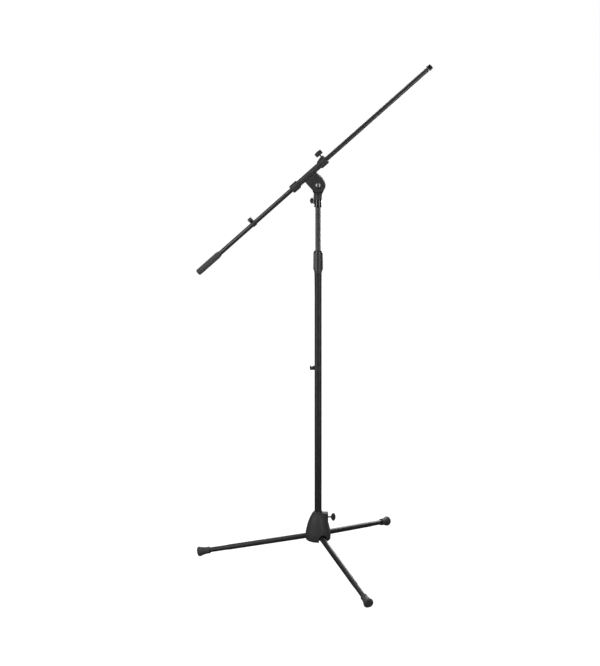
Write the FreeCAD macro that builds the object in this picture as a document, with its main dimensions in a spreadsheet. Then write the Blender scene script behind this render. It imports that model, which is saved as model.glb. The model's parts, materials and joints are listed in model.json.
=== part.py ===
import FreeCAD, Part
import math
import os

import Sketcher

# Boom microphone stand: a folding tripod, a telescopic column and a tilting, sliding boom.
# Millimetres and degrees. The origin is on the floor, on the axis of the column; +Z is up and
# the boom lies in the XZ plane, pointing to +X.

SIZE_ROWS = [
    # clearances
    ("slide_gap", 0.08, "radial clearance of a sliding or turning fit"),
    ("free_gap", 0.3, "space between neighbours that move past each other"),
    ("seat_gap", 0.02, "radial clearance of pieces that are fixed together"),
    # column
    ("lower_tube_r", 10.5, "lower column tube, outer radius"),
    ("lower_tube_wall", 1.5, "lower column tube, wall"),
    ("lower_tube_foot_z", 71.7, "lower end of the lower tube"),
    ("lower_tube_top_z", 905.0, "upper end of the lower tube"),
    ("end_plug_r", 12.0, "flange of the plug in the lower tube's end"),
    ("end_plug_flange", 3.2, "thickness of that flange"),
    ("end_plug_depth", 18.0, "length of the plug inside the tube"),
    ("mast_r", 7.75, "inner column tube, outer radius"),
    ("mast_wall", 1.0, "inner column tube, wall"),
    ("mast_foot_z", 266.0, "lower end of the mast"),
    ("mast_top_z", 1102.0, "upper end of the mast"),
    ("guide_bush_length", 30.0, "guide bush on the mast's lower end"),
    ("guide_bush_lip", 4.0, "lip of that bush under the mast"),
    # twist clutch
    ("ferrule_foot_z", 884.0, "lower end of the threaded ferrule"),
    ("ferrule_skirt_r", 11.5, "ferrule skirt"),
    ("ferrule_skirt_top_z", 890.5, "top of the skirt"),
    ("ferrule_thread_r", 11.2, "ferrule thread"),
    ("ferrule_top_z", 916.0, "top of the ferrule"),
    ("collet_r", 10.4, "collet, largest radius"),
    ("collet_cone_z", 922.0, "start of the collet's cone"),
    ("collet_top_r", 9.0, "collet, radius at its top"),
    ("collet_top_z", 930.0, "top of the collet"),
    ("collet_slit", 1.6, "width of the collet's slit"),
    ("clutch_foot_z", 890.8, "lower end of the twist grip"),
    ("clutch_foot_r", 13.2, "twist grip, radius at its lower edge"),
    ("clutch_belly_r", 13.8, "twist grip, largest radius"),
    ("clutch_belly_z", 893.6, "height of the largest radius"),
    ("clutch_shoulder_r", 13.3, "twist grip, radius at its shoulder"),
    ("clutch_shoulder_z", 939.5, "height of the shoulder"),
    ("clutch_shoulder_arc", 12.0, "radius of the shoulder's curve"),
    ("clutch_top_r", 9.0, "twist grip, radius at its top"),
    ("clutch_top_z", 947.5, "top of the twist grip"),
    ("flute_r", 4.2, "radius of one grip flute"),
    ("flute_depth", 1.1, "depth of one grip flute"),
    # tripod hub
    ("hub_rim_z", 72.0, "lower rim of the hub"),
    ("hub_rim_r", 36.6, "hub, radius at its rim"),
    ("hub_waist_z", 84.0, "height of the hub's largest radius"),
    ("hub_waist_r", 37.4, "hub, largest radius"),
    ("hub_haunch_z", 108.0, "upper end of the hub's lower curve"),
    ("hub_haunch_r", 34.0, "hub, radius there"),
    ("hub_lower_arc", 86.0, "radius of the hub's lower curve"),
    ("hub_shoulder_z", 151.5, "upper end of the hub's upper curve"),
    ("hub_shoulder_r", 17.6, "hub, radius there"),
    ("hub_upper_arc", 140.0, "radius of the hub's upper curve"),
    ("hub_top_z", 156.0, "top of the hub"),
    ("hub_top_r", 13.6, "hub, radius at its top"),
    ("hub_top_arc", 6.0, "radius of the hub's shoulder curve"),
    ("hub_bush_r", 12.3, "seat of the hub's bush"),
    ("hub_bush_foot_z", 147.0, "lower end of the hub's bush"),
    ("hub_bush_top_z", 159.5, "upper end of the hub's bush"),
    ("hub_boss_x", 29.8, "outer face of the clamp boss"),
    ("hub_boss_width", 18.8, "width of the clamp boss"),
    ("hub_boss_foot_z", 119.0, "lower end of the clamp boss"),
    ("hub_boss_top_z", 153.8, "top of the clamp boss"),
    ("hub_boss_edge", 2.2, "rounded edges of the clamp boss"),
    ("hub_rim_edge", 1.2, "rounded edge of the rim"),
    ("hub_screw_z", 140.0, "height of the hub's clamp screw"),
    ("slot_r", 8.35, "half width of the slot that a leg lies in"),
    ("slot_reach", 28.0, "radius where a slot opens into its arch"),
    ("slot_length", 32.0, "length of a slot, along the leg"),
    ("arch_r", 11.8, "half width of the arch in the hub's skirt"),
    ("arch_z", 82.6, "height of the arch's centre"),
    ("rib_offset", 13.8, "outer side of a pin rib, from the leg's middle"),
    ("pocket_r", 31.5, "outer radius of the hub's inner pockets"),
    ("pocket_top_z", 102.0, "roof of the hub's inner pockets"),
    ("upper_pocket_r", 24.0, "outer radius of the narrower part above them"),
    ("upper_pocket_top_z", 126.0, "roof of that part"),
    # legs
    ("leg_azimuth", 53.2, "direction of the right rear leg from +X"),
    ("leg_root_z", 87.0, "height where the leg axes meet"),
    ("leg_slope", 11.8, "slope of a leg below level"),
    ("leg_pin_s", 21.45, "hinge pin, along the leg axis"),
    ("leg_pin_r", 3.0, "radius of the hinge pin"),
    ("leg_pin_length", 27.2, "length of the hinge pin"),
    ("knuckle_r", 7.6, "ball end of the leg"),
    ("knuckle_neck", 4.4, "from the pin to the leg tube"),
    ("knuckle_plug_r", 6.38, "plug inside the leg tube"),
    ("knuckle_plug_length", 36.0, "from the pin to the plug's end"),
    ("leg_r", 8.0, "leg tube, outer radius"),
    ("leg_wall", 1.6, "leg tube, wall"),
    ("leg_swage_s", 275.0, "where the leg tube is drawn in"),
    ("leg_swage_length", 4.0, "length of that taper"),
    ("leg_end_r", 7.35, "leg tube, radius of the drawn end"),
    ("leg_end_s", 361.5, "outer end of the leg tube"),
    # rubber feet
    ("foot_start_s", 333.0, "inner end of the rubber foot"),
    ("foot_ring_r", 10.3, "ring at the foot's inner end"),
    ("foot_ring_length", 4.6, "length of that ring"),
    ("foot_waist_r", 10.0, "waist of the foot"),
    ("foot_waist_length", 2.6, "from the ring to the waist"),
    ("foot_flare_arc", 90.0, "radius of the foot's flare"),
    ("foot_flare_r", 14.8, "largest radius of the foot"),
    ("foot_flare_s", 364.4, "where that radius is"),
    ("foot_edge_arc", 6.2, "rounded edge of the foot"),
    ("foot_face_r", 9.6, "radius of the foot's flat end face"),
    ("foot_end_s", 370.5, "outer end of the foot"),
    # swivel on the mast
    ("socket_foot_z", 1073.0, "lower end of the metal socket"),
    ("socket_r", 10.2, "socket, outer radius"),
    ("socket_lip_r", 11.3, "lip at the socket's lower end"),
    ("socket_lip_height", 5.0, "height of the lip"),
    ("socket_lip_edge", 1.0, "chamfer of the lip"),
    ("socket_top_z", 1108.0, "upper end of the socket, inside the neck"),
    ("neck_foot_z", 1094.0, "lower end of the moulded neck"),
    ("neck_r", 11.0, "neck, outer radius"),
    ("neck_flare_z", 1106.0, "where the neck starts to flare"),
    ("neck_top_r", 13.6, "neck, radius at its top"),
    ("neck_top_z", 1114.4, "top of the neck, under the cradle's cheeks"),
    ("pivot_z", 1136.2, "height of the tilt pivot"),
    ("tongue_half", 4.9, "half thickness of the tongue"),
    ("tongue_blend_half", 16.9, "half width where the tongue meets the neck"),
    ("tongue_blend_z", 1123.4, "height of that place"),
    ("plate_inner_x", 10.0, "inner face of the clamp plate, from the mast axis"),
    ("plate_outer_x", 13.2, "outer face of the clamp plate"),
    ("plate_half_width", 6.0, "half width of the clamp plate"),
    ("plate_foot_z", 1081.5, "lower end of the clamp plate"),
    ("plate_top_z", 1107.0, "upper end of the clamp plate"),
    ("plate_edge", 0.9, "rounded edges of the clamp plate"),
    ("head_screw_z", 1090.6, "height of the head's clamp screw"),
    # tilt pivot
    ("cheek_r", 21.1, "radius of the cradle's cheeks about the pivot"),
    ("cheek_half", 11.6, "half width over the cheeks"),
    ("cheek_inner", 6.2, "half width between the cheeks"),
    ("cheek_slot_r", 27.0, "radius of the slot between the cheeks"),
    ("cheek_edge", 1.0, "rounded edges of the cheeks"),
    ("washer_r", 13.0, "radius of a friction washer"),
    ("washer_thickness", 1.0, "thickness of a friction washer"),
    ("recess_r", 9.6, "radius of the recess round the screw head"),
    ("recess_floor", 8.6, "floor of the recess, from the middle plane"),
    ("pivot_r", 4.0, "radius of the pivot screw"),
    ("screw_head_r", 6.9, "radius of the pivot screw's head"),
    ("screw_head_edge", 1.0, "height of the head's edge"),
    ("screw_head_top", 11.9, "top of the head, from the middle plane"),
    ("screw_head_arc", 11.5, "radius of the domed head"),
    ("screw_slot_width", 3.2, "width of the driver slot"),
    ("screw_slot_floor", 10.0, "floor of the driver slot"),
    ("nut_flat", 13.0, "pivot nut, across flats"),
    ("nut_chamfer", 0.8, "chamfer of the nut's outer edges"),
    ("nut_outer", 12.3, "outer face of the nut, from the middle plane"),
    # boom cradle
    ("boom_angle", 41.9, "boom above level"),
    ("boom_offset", 38.4, "boom axis from the pivot"),
    ("boom_r", 6.35, "boom tube, outer radius"),
    ("boom_wall", 1.2, "boom tube, wall"),
    ("web_top", 31.5, "top of the web, from the pivot"),
    ("web_shoulder", 3.6, "slanted shoulder of the web"),
    ("sleeve_r", 8.9, "sleeve round the boom between the collars, outer radius"),
    ("sleeve_gap", 0.3, "clearance of the sleeve round the boom"),
    ("collar_r", 12.2, "collars round the boom"),
    ("collar_edge", 2.6, "rounded ends of the collars"),
    ("front_collar_start", 39.4, "front collar, from the pivot's foot"),
    ("front_collar_end", 66.2, "front collar, outer end"),
    ("rear_collar_start", -38.4, "rear collar, from the pivot's foot"),
    ("rear_collar_end", -64.8, "rear collar, outer end"),
    ("clamp_boss_half", 6.2, "half width of the clamp boss"),
    ("clamp_boss_top", 14.8, "top of the clamp boss, above the boom axis"),
    ("clamp_boss_corner", 2.0, "chamfered corner of the clamp boss"),
    ("clamp_boss_edge", 1.4, "rounded edges of the boss"),
    ("clamp_boss_rise", 55.0, "where the boss reaches its top"),
    ("clamp_boss_fall", 65.2, "where the boss falls again"),
    ("clamp_screw_x", 59.9, "clamp screw, along the boom"),
    ("clamp_pad_r", 4.3, "radius of a pressure pad"),
    ("clamp_pad_thickness", 2.2, "thickness of a pressure pad"),
    # boom
    ("boom_rear", -419.0, "rear end of the boom tube"),
    ("boom_front", 441.0, "front end of the boom tube"),
    ("grip_rear", -424.3, "rear end of the boom's grip"),
    ("grip_taper", -346.0, "where the grip starts to taper"),
    ("grip_front", -338.4, "front end of the grip"),
    ("grip_r", 9.2, "boom grip, radius"),
    ("grip_edge", 1.8, "rounded rear edge of the grip"),
    ("grip_neck_r", 7.4, "boom grip, radius at its front end"),
    ("insert_depth", 22.0, "threaded insert inside the boom"),
    ("insert_flange", 1.2, "flange of the insert"),
    ("stud_r", 4.6, "threaded stud of the insert"),
    ("stud_end", 450.0, "end of the stud"),
    ("lock_washer_r", 13.0, "washer behind the thread adapter"),
    ("lock_washer_thickness", 0.8, "thickness of that washer"),
    ("adapter_r", 7.94, "thread adapter, 5/8 inch outside thread"),
    ("adapter_end", 454.3, "front end of the thread adapter"),
    ("adapter_chamfer", 1.0, "chamfer of the adapter"),
    ("adapter_slot_width", 2.0, "coin slot in the adapter's end"),
    ("adapter_slot_depth", 1.6, "depth of that slot"),
    # wing screws
    ("wing_stud_r", 2.5, "stud of a wing screw"),
    ("wing_hub_r", 4.2, "round hub of a wing head"),
    ("wing_half_width", 11.8, "half span of a wing head"),
    ("wing_root_half", 3.4, "half width of a wing head at its root"),
    ("wing_spread", 5.0, "where a wing head is full width"),
    ("wing_side", 4.6, "straight side of a wing head"),
    ("wing_crown_arc", 17.5, "radius of a wing head's crown"),
    ("knob_half_width", 10.9, "half span of the boom screw's head"),
    ("knob_root_half", 9.2, "half width of that head at its root"),
    ("knob_spread", 1.6, "where that head is full width"),
    ("knob_side", 9.8, "straight side of that head"),
    ("knob_crown_arc", 40.0, "radius of that head's crown"),
    ("wing_thickness", 7.0, "thickness of a wing head"),
    ("wing_edge", 1.7, "rounded edges of a wing head"),
    ("hub_wing_start", 37.6, "wing head of the hub screw, from the column axis"),
    ("boom_wing_start", 20.2, "wing head of the boom screw, from the boom axis"),
    ("thumb_start", 13.6, "thumb head of the head screw, from the mast axis"),
    ("thumb_half_width", 8.4, "half span of the thumb head"),
    ("thumb_root_half", 6.4, "half width of the thumb head at its root"),
    ("thumb_spread", 2.4, "where the thumb head is full width"),
    ("thumb_side", 1.4, "straight side of the thumb head"),
    ("thumb_crown_arc", 9.0, "radius of the thumb head's crown"),
    # cable clips
    ("clip_wall", 2.0, "wall of a clip round its tube"),
    ("clip_cable_r", 4.0, "radius of the cable that a clip holds"),
    ("clip_cable_wall", 2.2, "wall round the cable"),
    ("clip_overlap", 0.6, "how far the cable ring runs into the clip's wall"),
    ("column_clip_slit", 15.0, "opening of the column's clip, which snaps on from the side"),
    ("boom_clip_slit", 2.4, "slit of the boom's clip"),
    ("clip_mouth", 4.6, "mouth that the cable goes in by"),
    ("clip_bore_gap", 0.08, "clearance of a clip on its tube"),
    ("column_clip_foot_z", 594.8, "lower edge of the column's clip"),
    ("column_clip_height", 11.0, "height of the column's clip"),
    ("boom_clip_rear", -215.3, "rear edge of the boom's clip"),
    ("boom_clip_length", 12.4, "length of the boom's clip"),
]

FLUTE_COUNT = 6
FLUTE_TURN = 49.5
LEGS = {"rear": 0.0, "left": 120.0, "front": 240.0}
# tests of edges: two places are the same within NEAR; a chamfered top edge lies in a band below it
NEAR = 0.01
EDGE_BAND = 0.1


class Dim:
    """A size, known both as a number and as the spreadsheet expression that gives it."""

    def __init__(self, value, text):
        self.value = float(value)
        self.text = text

    def __add__(self, other):
        other = dim(other)
        return Dim(self.value + other.value, f"({self.text} + {other.text})")

    def __sub__(self, other):
        other = dim(other)
        return Dim(self.value - other.value, f"({self.text} - {other.text})")

    def __mul__(self, other):
        other = dim(other)
        return Dim(self.value * other.value, f"({self.text} * {other.text})")

    def __truediv__(self, other):
        other = dim(other)
        return Dim(self.value / other.value, f"({self.text} / {other.text})")

    def __neg__(self):
        return Dim(-self.value, f"(0 - {self.text})")


def dim(number):
    """The same size as a Dim, if it is a plain number."""
    return number if isinstance(number, Dim) else Dim(number, repr(float(number)))


def root(size_squared):
    """The square root of a Dim."""
    return Dim(math.sqrt(size_squared.value), f"sqrt({size_squared.text})")


def tangent(angle):
    """The tangent of a Dim that is in degrees."""
    return Dim(math.tan(math.radians(angle.value)), f"tan({angle.text} * 1deg)")


class SizeSheet:
    """The driving dimensions: one spreadsheet cell with an alias each, read as attributes."""

    def __init__(self, document, rows):
        sheet = document.addObject("Spreadsheet::Sheet", "Sizes")
        for line, (alias, number, meaning) in enumerate(rows, start=1):
            sheet.set(f"A{line}", meaning)
            sheet.set(f"B{line}", str(number))
            sheet.setAlias(f"B{line}", alias)
            setattr(self, alias, Dim(number, f"Sizes.{alias}"))


doc = FreeCAD.newDocument("BoomMicrophoneStand")
size = SizeSheet(doc, SIZE_ROWS)
doc.recompute()


# ---------------------------------------------------------------- drawing helpers


def vector(x, y, z):
    return FreeCAD.Vector(x, y, z)


def moved(x=0.0, y=0.0, z=0.0):
    """A plain shift."""
    return FreeCAD.Placement(vector(x, y, z), FreeCAD.Rotation())


def turned_about(axis, angle):
    """A rotation about an axis through the origin, in degrees."""
    return FreeCAD.Placement(vector(0, 0, 0), FreeCAD.Rotation(vector(*axis), angle))


def new_body(label, placement=None):
    """An empty body with its own label and place."""
    body = doc.addObject("PartDesign::Body", label)
    body.Label = label
    body.Placement = placement or FreeCAD.Placement()
    return body


def new_sketch(body, plane, offset=None):
    """An empty sketch on one of the body's own origin planes."""
    drawing = body.newObject("Sketcher::SketchObject", f"{body.Name}_sketch")
    support = next(part for part in body.Origin.OriginFeatures if part.Role == plane)
    drawing.AttachmentSupport = (support, [""])
    drawing.MapMode = "FlatFace"
    if offset:
        drawing.AttachmentOffset = offset
    return drawing


def pin_down(drawing, kind, size_of, *where):
    """Add one dimension to a sketch and bind it to the spreadsheet."""
    number = drawing.addConstraint(Sketcher.Constraint(kind, *where, size_of.value))
    drawing.setExpression(f"Constraints[{number}]", size_of.text)


def arc_through(start, end, radius):
    """An arc between two points; its centre is on the left of the way for a positive radius."""
    chord = end - start
    middle = (start + end) * 0.5
    left = vector(-chord.y, chord.x, 0).normalize()
    reach = math.sqrt(max(radius * radius - (chord.Length / 2) ** 2, 0.0))
    centre = middle + left * math.copysign(reach, radius)
    bulge = middle - centre
    if bulge.Length < 1e-9:
        bulge = -left * math.copysign(1.0, radius)
    crown = centre + bulge.normalize() * abs(radius)
    return Part.Arc(start, crown, end)


def closed_sketch(body, plane, corners, offset=None):
    """A fully constrained closed outline. A corner is (x, y), or (x, y, r) where an arc of
    radius r leads to it: anticlockwise if r is positive, clockwise if it is negative."""
    drawing = new_sketch(body, plane, offset)
    corners = [tuple(dim(number) for number in corner) for corner in corners]
    points = [vector(corner[0].value, corner[1].value, 0) for corner in corners]
    ends = []
    for index, corner in enumerate(corners):
        start, end = points[index - 1], points[index]
        if len(corner) == 2:
            drawing.addGeometry(Part.LineSegment(start, end))
            ends.append((1, 2))
        else:
            drawing.addGeometry(arc_through(start, end, corner[2].value))
            ends.append((1, 2) if corner[2].value > 0 else (2, 1))
    for index, corner in enumerate(corners):
        after = (index + 1) % len(corners)
        last = ends[index][1]
        drawing.addConstraint(Sketcher.Constraint("Coincident", index, last, after, ends[after][0]))
        pin_down(drawing, "DistanceX", corner[0], -1, 1, index, last)
        pin_down(drawing, "DistanceY", corner[1], -1, 1, index, last)
        if len(corner) == 3:
            size_arc(drawing, index, points[index - 1], corner)
    return drawing


def size_arc(drawing, index, start, corner):
    """Bind an arc's radius, or the place of its centre where the arc is half a circle."""
    x, y, radius = corner
    across = math.hypot(x.value - start.x, y.value - start.y)
    if across < abs(radius.value) * 2 - 1e-6:
        pin_down(drawing, "Radius", radius if radius.value > 0 else -radius, index)
    elif abs(y.value - start.y) < 1e-6:
        pin_down(drawing, "DistanceY", y, -1, 1, index, 3)
    else:
        pin_down(drawing, "DistanceX", x, -1, 1, index, 3)


def circle_sketch(body, plane, x, y, radius, offset=None):
    """A fully constrained circle."""
    drawing = new_sketch(body, plane, offset)
    x, y, radius = dim(x), dim(y), dim(radius)
    middle = vector(x.value, y.value, 0)
    drawing.addGeometry(Part.Circle(middle, vector(0, 0, 1), radius.value))
    pin_down(drawing, "DistanceX", x, -1, 1, 0, 3)
    pin_down(drawing, "DistanceY", y, -1, 1, 0, 3)
    pin_down(drawing, "Radius", radius, 0)
    return drawing


def box_corners(x_low, x_high, y_low, y_high):
    """The four corners of a rectangle, anticlockwise."""
    return [(x_low, y_low), (x_high, y_low), (x_high, y_high), (x_low, y_high)]


def extrude(body, kind, drawing, length, both_ways=False, reversed_way=False):
    """Pad or Pocket a sketch by a bound length."""
    feature = body.newObject(f"PartDesign::{kind}", f"{body.Name}_{kind.lower()}")
    feature.Profile = drawing
    length = dim(length)
    feature.Length = length.value
    feature.setExpression("Length", length.text)
    feature.SideType = "Symmetric" if both_ways else "One side"
    feature.Reversed = reversed_way
    body.Tip = feature
    return feature


def pad(body, drawing, length, both_ways=False, reversed_way=False):
    """Add material along the sketch's normal, or to both sides of it."""
    return extrude(body, "Pad", drawing, length, both_ways, reversed_way)


def cut(body, drawing, length, both_ways=False, forward=False):
    """Remove material against the sketch's normal, along it, or to both sides, and prove it."""
    doc.recompute()
    before = body.Shape.Volume
    feature = extrude(body, "Pocket", drawing, length, both_ways, forward)
    doc.recompute()
    if body.Shape.Volume > before - 1e-3:
        raise RuntimeError(f"a cut in {body.Label} removes nothing")
    return feature


def revolve(body, corners):
    """Turn a closed (radius, height) outline about the body's Z axis."""
    drawing = closed_sketch(body, "XZ_Plane", corners)
    feature = body.newObject("PartDesign::Revolution", f"{body.Name}_turned")
    feature.Profile = drawing
    feature.ReferenceAxis = (drawing, ["V_Axis"])
    feature.Angle = 360
    body.Tip = feature
    return feature


def turned_part(label, corners, placement=None):
    """A sub-part that is one solid of revolution."""
    body = new_body(label, placement)
    revolve(body, corners)
    return body


def around(body, feature, count):
    """Repeat a feature evenly about the body's Z axis."""
    pattern = body.newObject("PartDesign::PolarPattern", f"{body.Name}_pattern")
    pattern.Originals = [feature]
    axis = next(part for part in body.Origin.OriginFeatures if part.Role == "Z_Axis")
    pattern.Axis = (axis, [""])
    pattern.Angle = 360
    pattern.Occurrences = count
    body.Tip = pattern
    return pattern


def dress(body, kind, amount, wanted):
    """Fillet or Chamfer the edges of the body that a test picks out."""
    doc.recompute()
    base = body.Tip
    names = [f"Edge{i}" for i, edge in enumerate(base.Shape.Edges, start=1) if wanted(edge)]
    if not names:
        raise RuntimeError(f"no edge to {kind} in {body.Label}")
    feature = body.newObject(f"PartDesign::{kind}", f"{body.Name}_{kind.lower()}")
    feature.Base = (base, names)
    amount = dim(amount)
    sized = "Radius" if kind == "Fillet" else "Size"
    setattr(feature, sized, amount.value)
    feature.setExpression(sized, amount.text)
    body.Tip = feature
    doc.recompute()
    return feature


def lies_at(edge, **limits):
    """Is the whole edge at the given coordinates or ranges, such as x=3 or y=(1, 5)?"""
    box = edge.BoundBox
    for name, limit in limits.items():
        low, high = limit if isinstance(limit, tuple) else (limit, limit)
        if getattr(box, f"{name.upper()}Min") < low - NEAR:
            return False
        if getattr(box, f"{name.upper()}Max") > high + NEAR:
            return False
    return True


# ---------------------------------------------------------------- frames of the moving groups


def leg_frame(turn):
    """Origin where the leg axes meet; Z runs out along the leg, Y along the hinge pin."""
    azimuth = math.radians(size.leg_azimuth.value + turn)
    slope = math.radians(size.leg_slope.value)
    outward = vector(
        math.cos(azimuth) * math.cos(slope),
        math.sin(azimuth) * math.cos(slope),
        -math.sin(slope),
    )
    sideways = vector(-math.sin(azimuth), math.cos(azimuth), 0)
    downward = sideways.cross(outward)
    rotation = FreeCAD.Rotation(downward, sideways, outward, "ZXY")
    return FreeCAD.Placement(vector(0, 0, size.leg_root_z.value), rotation)


def pivot_frame():
    """Origin at the tilt pivot; X runs along the boom, Z from the pivot to the boom."""
    return moved(z=size.pivot_z.value) * turned_about((0, 1, 0), -size.boom_angle.value)


def boom_frame():
    """Origin on the boom axis, at the pivot's foot; Z runs forward along the boom."""
    return pivot_frame() * moved(z=size.boom_offset.value) * turned_about((0, 1, 0), 90)


# ---------------------------------------------------------------- column


def lower_tube():
    inner = size.lower_tube_r - size.lower_tube_wall
    outline = box_corners(inner, size.lower_tube_r, size.lower_tube_foot_z, size.lower_tube_top_z)
    return turned_part("lower_tube", outline)


def tube_end_plug():
    inside = size.lower_tube_r - size.lower_tube_wall - size.seat_gap
    seat = size.lower_tube_foot_z
    foot = seat - size.end_plug_flange
    edge = size.end_plug_flange / 2
    outline = [
        (0, foot - edge),
        (size.end_plug_r - edge, foot - edge),
        (size.end_plug_r, foot),
        (size.end_plug_r, seat),
        (inside, seat),
        (inside, seat + size.end_plug_depth),
        (inside - edge, seat + size.end_plug_depth + edge),
        (0, seat + size.end_plug_depth + edge),
    ]
    return turned_part("tube_end_plug", outline)


def clutch_ferrule():
    tube_bore = size.lower_tube_r + size.seat_gap
    mast_bore = size.mast_r + size.slide_gap
    edge = size.free_gap * 2
    outline = [
        (tube_bore, size.ferrule_foot_z),
        (size.ferrule_skirt_r - edge, size.ferrule_foot_z),
        (size.ferrule_skirt_r, size.ferrule_foot_z + edge),
        (size.ferrule_skirt_r, size.ferrule_skirt_top_z),
        (size.ferrule_thread_r, size.ferrule_skirt_top_z),
        (size.ferrule_thread_r, size.ferrule_top_z),
        (mast_bore, size.ferrule_top_z),
        (mast_bore, size.lower_tube_top_z),
        (tube_bore, size.lower_tube_top_z),
    ]
    return turned_part("clutch_ferrule", outline)


def clutch_collet():
    bore = size.mast_r + size.slide_gap
    body = turned_part("clutch_collet", [
        (bore, size.ferrule_top_z),
        (size.collet_r, size.ferrule_top_z),
        (size.collet_r, size.collet_cone_z),
        (size.collet_top_r, size.collet_top_z),
        (bore, size.collet_top_z),
    ])
    half = size.collet_slit / 2
    slit = box_corners(-half, half, size.mast_r, size.collet_r * 2)
    cut(body, closed_sketch(body, "XY_Plane", slit), size.collet_top_z * 2, both_ways=True)
    return body


def clutch_grip():
    thread = size.ferrule_thread_r + size.slide_gap
    roof = size.ferrule_top_z + size.free_gap
    cone_foot = size.collet_cone_z + size.free_gap
    cone_top = size.collet_top_z + size.free_gap
    room = size.collet_r + size.free_gap
    mouth = size.mast_r + size.free_gap
    body = turned_part("clutch_grip", [
        (thread, size.clutch_foot_z),
        (size.clutch_foot_r, size.clutch_foot_z),
        (size.clutch_belly_r, size.clutch_belly_z, size.clutch_belly_r),
        (size.clutch_shoulder_r, size.clutch_shoulder_z),
        (size.clutch_top_r, size.clutch_top_z, size.clutch_shoulder_arc),
        (mouth, size.clutch_top_z),
        (mouth, cone_top),
        (size.collet_top_r + size.free_gap, cone_top),
        (room, cone_foot),
        (room, roof),
        (thread, roof),
    ])
    middle = size.clutch_belly_r - size.flute_depth + size.flute_r
    drawing = circle_sketch(body, "XY_Plane", middle, 0, size.flute_r)
    flute = cut(body, drawing, size.clutch_top_z * 2, both_ways=True)
    around(body, flute, FLUTE_COUNT)
    body.Placement = turned_about((0, 0, 1), FLUTE_TURN)
    return body


def mast_tube():
    inner = size.mast_r - size.mast_wall
    return turned_part("mast_tube", box_corners(inner, size.mast_r, size.mast_foot_z, size.mast_top_z))


def mast_guide_bush():
    outer = size.lower_tube_r - size.lower_tube_wall - size.slide_gap
    seat = size.mast_r + size.seat_gap
    inner = size.mast_r - size.mast_wall * 2
    foot = size.mast_foot_z - size.guide_bush_lip
    outline = [
        (inner, foot),
        (outer, foot),
        (outer, foot + size.guide_bush_length),
        (seat, foot + size.guide_bush_length),
        (seat, size.mast_foot_z),
        (inner, size.mast_foot_z),
    ]
    return turned_part("mast_guide_bush", outline)


# ---------------------------------------------------------------- tripod


def hub_shell():
    """A cast bell with a clamp boss, three leg slots under arches, and pockets between them."""
    body = turned_part("hub_shell", [
        (0, size.hub_rim_z),
        (size.hub_rim_r, size.hub_rim_z),
        (size.hub_waist_r, size.hub_waist_z),
        (size.hub_haunch_r, size.hub_haunch_z, size.hub_lower_arc),
        (size.hub_shoulder_r, size.hub_shoulder_z, size.hub_upper_arc),
        (size.hub_top_r, size.hub_top_z, size.hub_top_arc),
        (0, size.hub_top_z),
    ])
    half = size.hub_boss_width / 2
    face = box_corners(-half, half, size.hub_boss_foot_z, size.hub_boss_top_z)
    pad(body, closed_sketch(body, "YZ_Plane", face), size.hub_boss_x)
    boss_x = size.hub_boss_x.value
    dress(body, "Fillet", size.hub_boss_edge, lambda edge: lies_at(edge, x=boss_x) and not lies_at(
        edge, z=size.hub_boss_foot_z.value))
    bore = size.lower_tube_r + size.slide_gap
    cut(body, circle_sketch(body, "XY_Plane", 0, 0, bore), size.hub_top_z * 3, both_ways=True)
    seat = moved(z=size.hub_bush_foot_z.value)
    drawing = circle_sketch(body, "XY_Plane", 0, 0, size.hub_bush_r, seat)
    cut(body, drawing, size.hub_top_z, forward=True)
    cut_leg_slots(body)
    cut_pockets(body, size.pocket_r, size.pocket_top_z)
    cut_pockets(body, size.upper_pocket_r, size.upper_pocket_top_z)
    cut_screw_way(body, size.hub_screw_z, size.lower_tube_r, size.hub_boss_x)
    rim_z = size.hub_rim_z.value
    rim_r = size.hub_rim_r.value
    dress(body, "Fillet", size.hub_rim_edge, lambda edge: lies_at(edge, z=rim_z) and is_round(edge, rim_r))
    return body


def is_round(edge, radius):
    """Is the edge part of a circle of this radius?"""
    curve = edge.Curve
    return isinstance(curve, Part.Circle) and abs(curve.Radius - radius) < NEAR


def slot_corners(half, centre, foot):
    """An upright slot with a round top."""
    return [(half, foot), (half, centre), (-half, centre, half), (-half, foot)]


def cut_leg_slots(body):
    """Each leg lies in a slot along its own axis, which opens below and under a wider arch."""
    tilt = FreeCAD.Rotation(vector(0, 1, 0), size.leg_azimuth.value).multiply(
        FreeCAD.Rotation(vector(1, 0, 0), size.leg_slope.value))
    along_leg = FreeCAD.Placement(vector(0, size.leg_root_z.value, 0), tilt)
    outline = slot_corners(size.slot_r, 0, -size.leg_root_z)
    drawing = closed_sketch(body, "YZ_Plane", outline, along_leg)
    around(body, cut(body, drawing, size.slot_length, forward=True), len(LEGS))
    level = turned_about((0, 1, 0), size.leg_azimuth.value) * moved(z=size.slot_reach.value)
    outline = slot_corners(size.arch_r, size.arch_z, 0)
    drawing = closed_sketch(body, "YZ_Plane", outline, level)
    around(body, cut(body, drawing, size.hub_waist_r, forward=True), len(LEGS))
    across = turned_about((0, 1, 0), size.leg_azimuth.value)
    pin_x, pin_z = pin_place()
    drawing = circle_sketch(body, "XZ_Plane", pin_x, pin_z, size.leg_pin_r + size.seat_gap, across)
    around(body, cut(body, drawing, size.rib_offset * 2 + 1, both_ways=True), len(LEGS))


def pin_place():
    """The radius and height of a leg's hinge pin, as plain numbers."""
    slope = math.radians(size.leg_slope.value)
    reach = size.leg_pin_s.value
    return reach * math.cos(slope), size.leg_root_z.value - reach * math.sin(slope)


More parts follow.
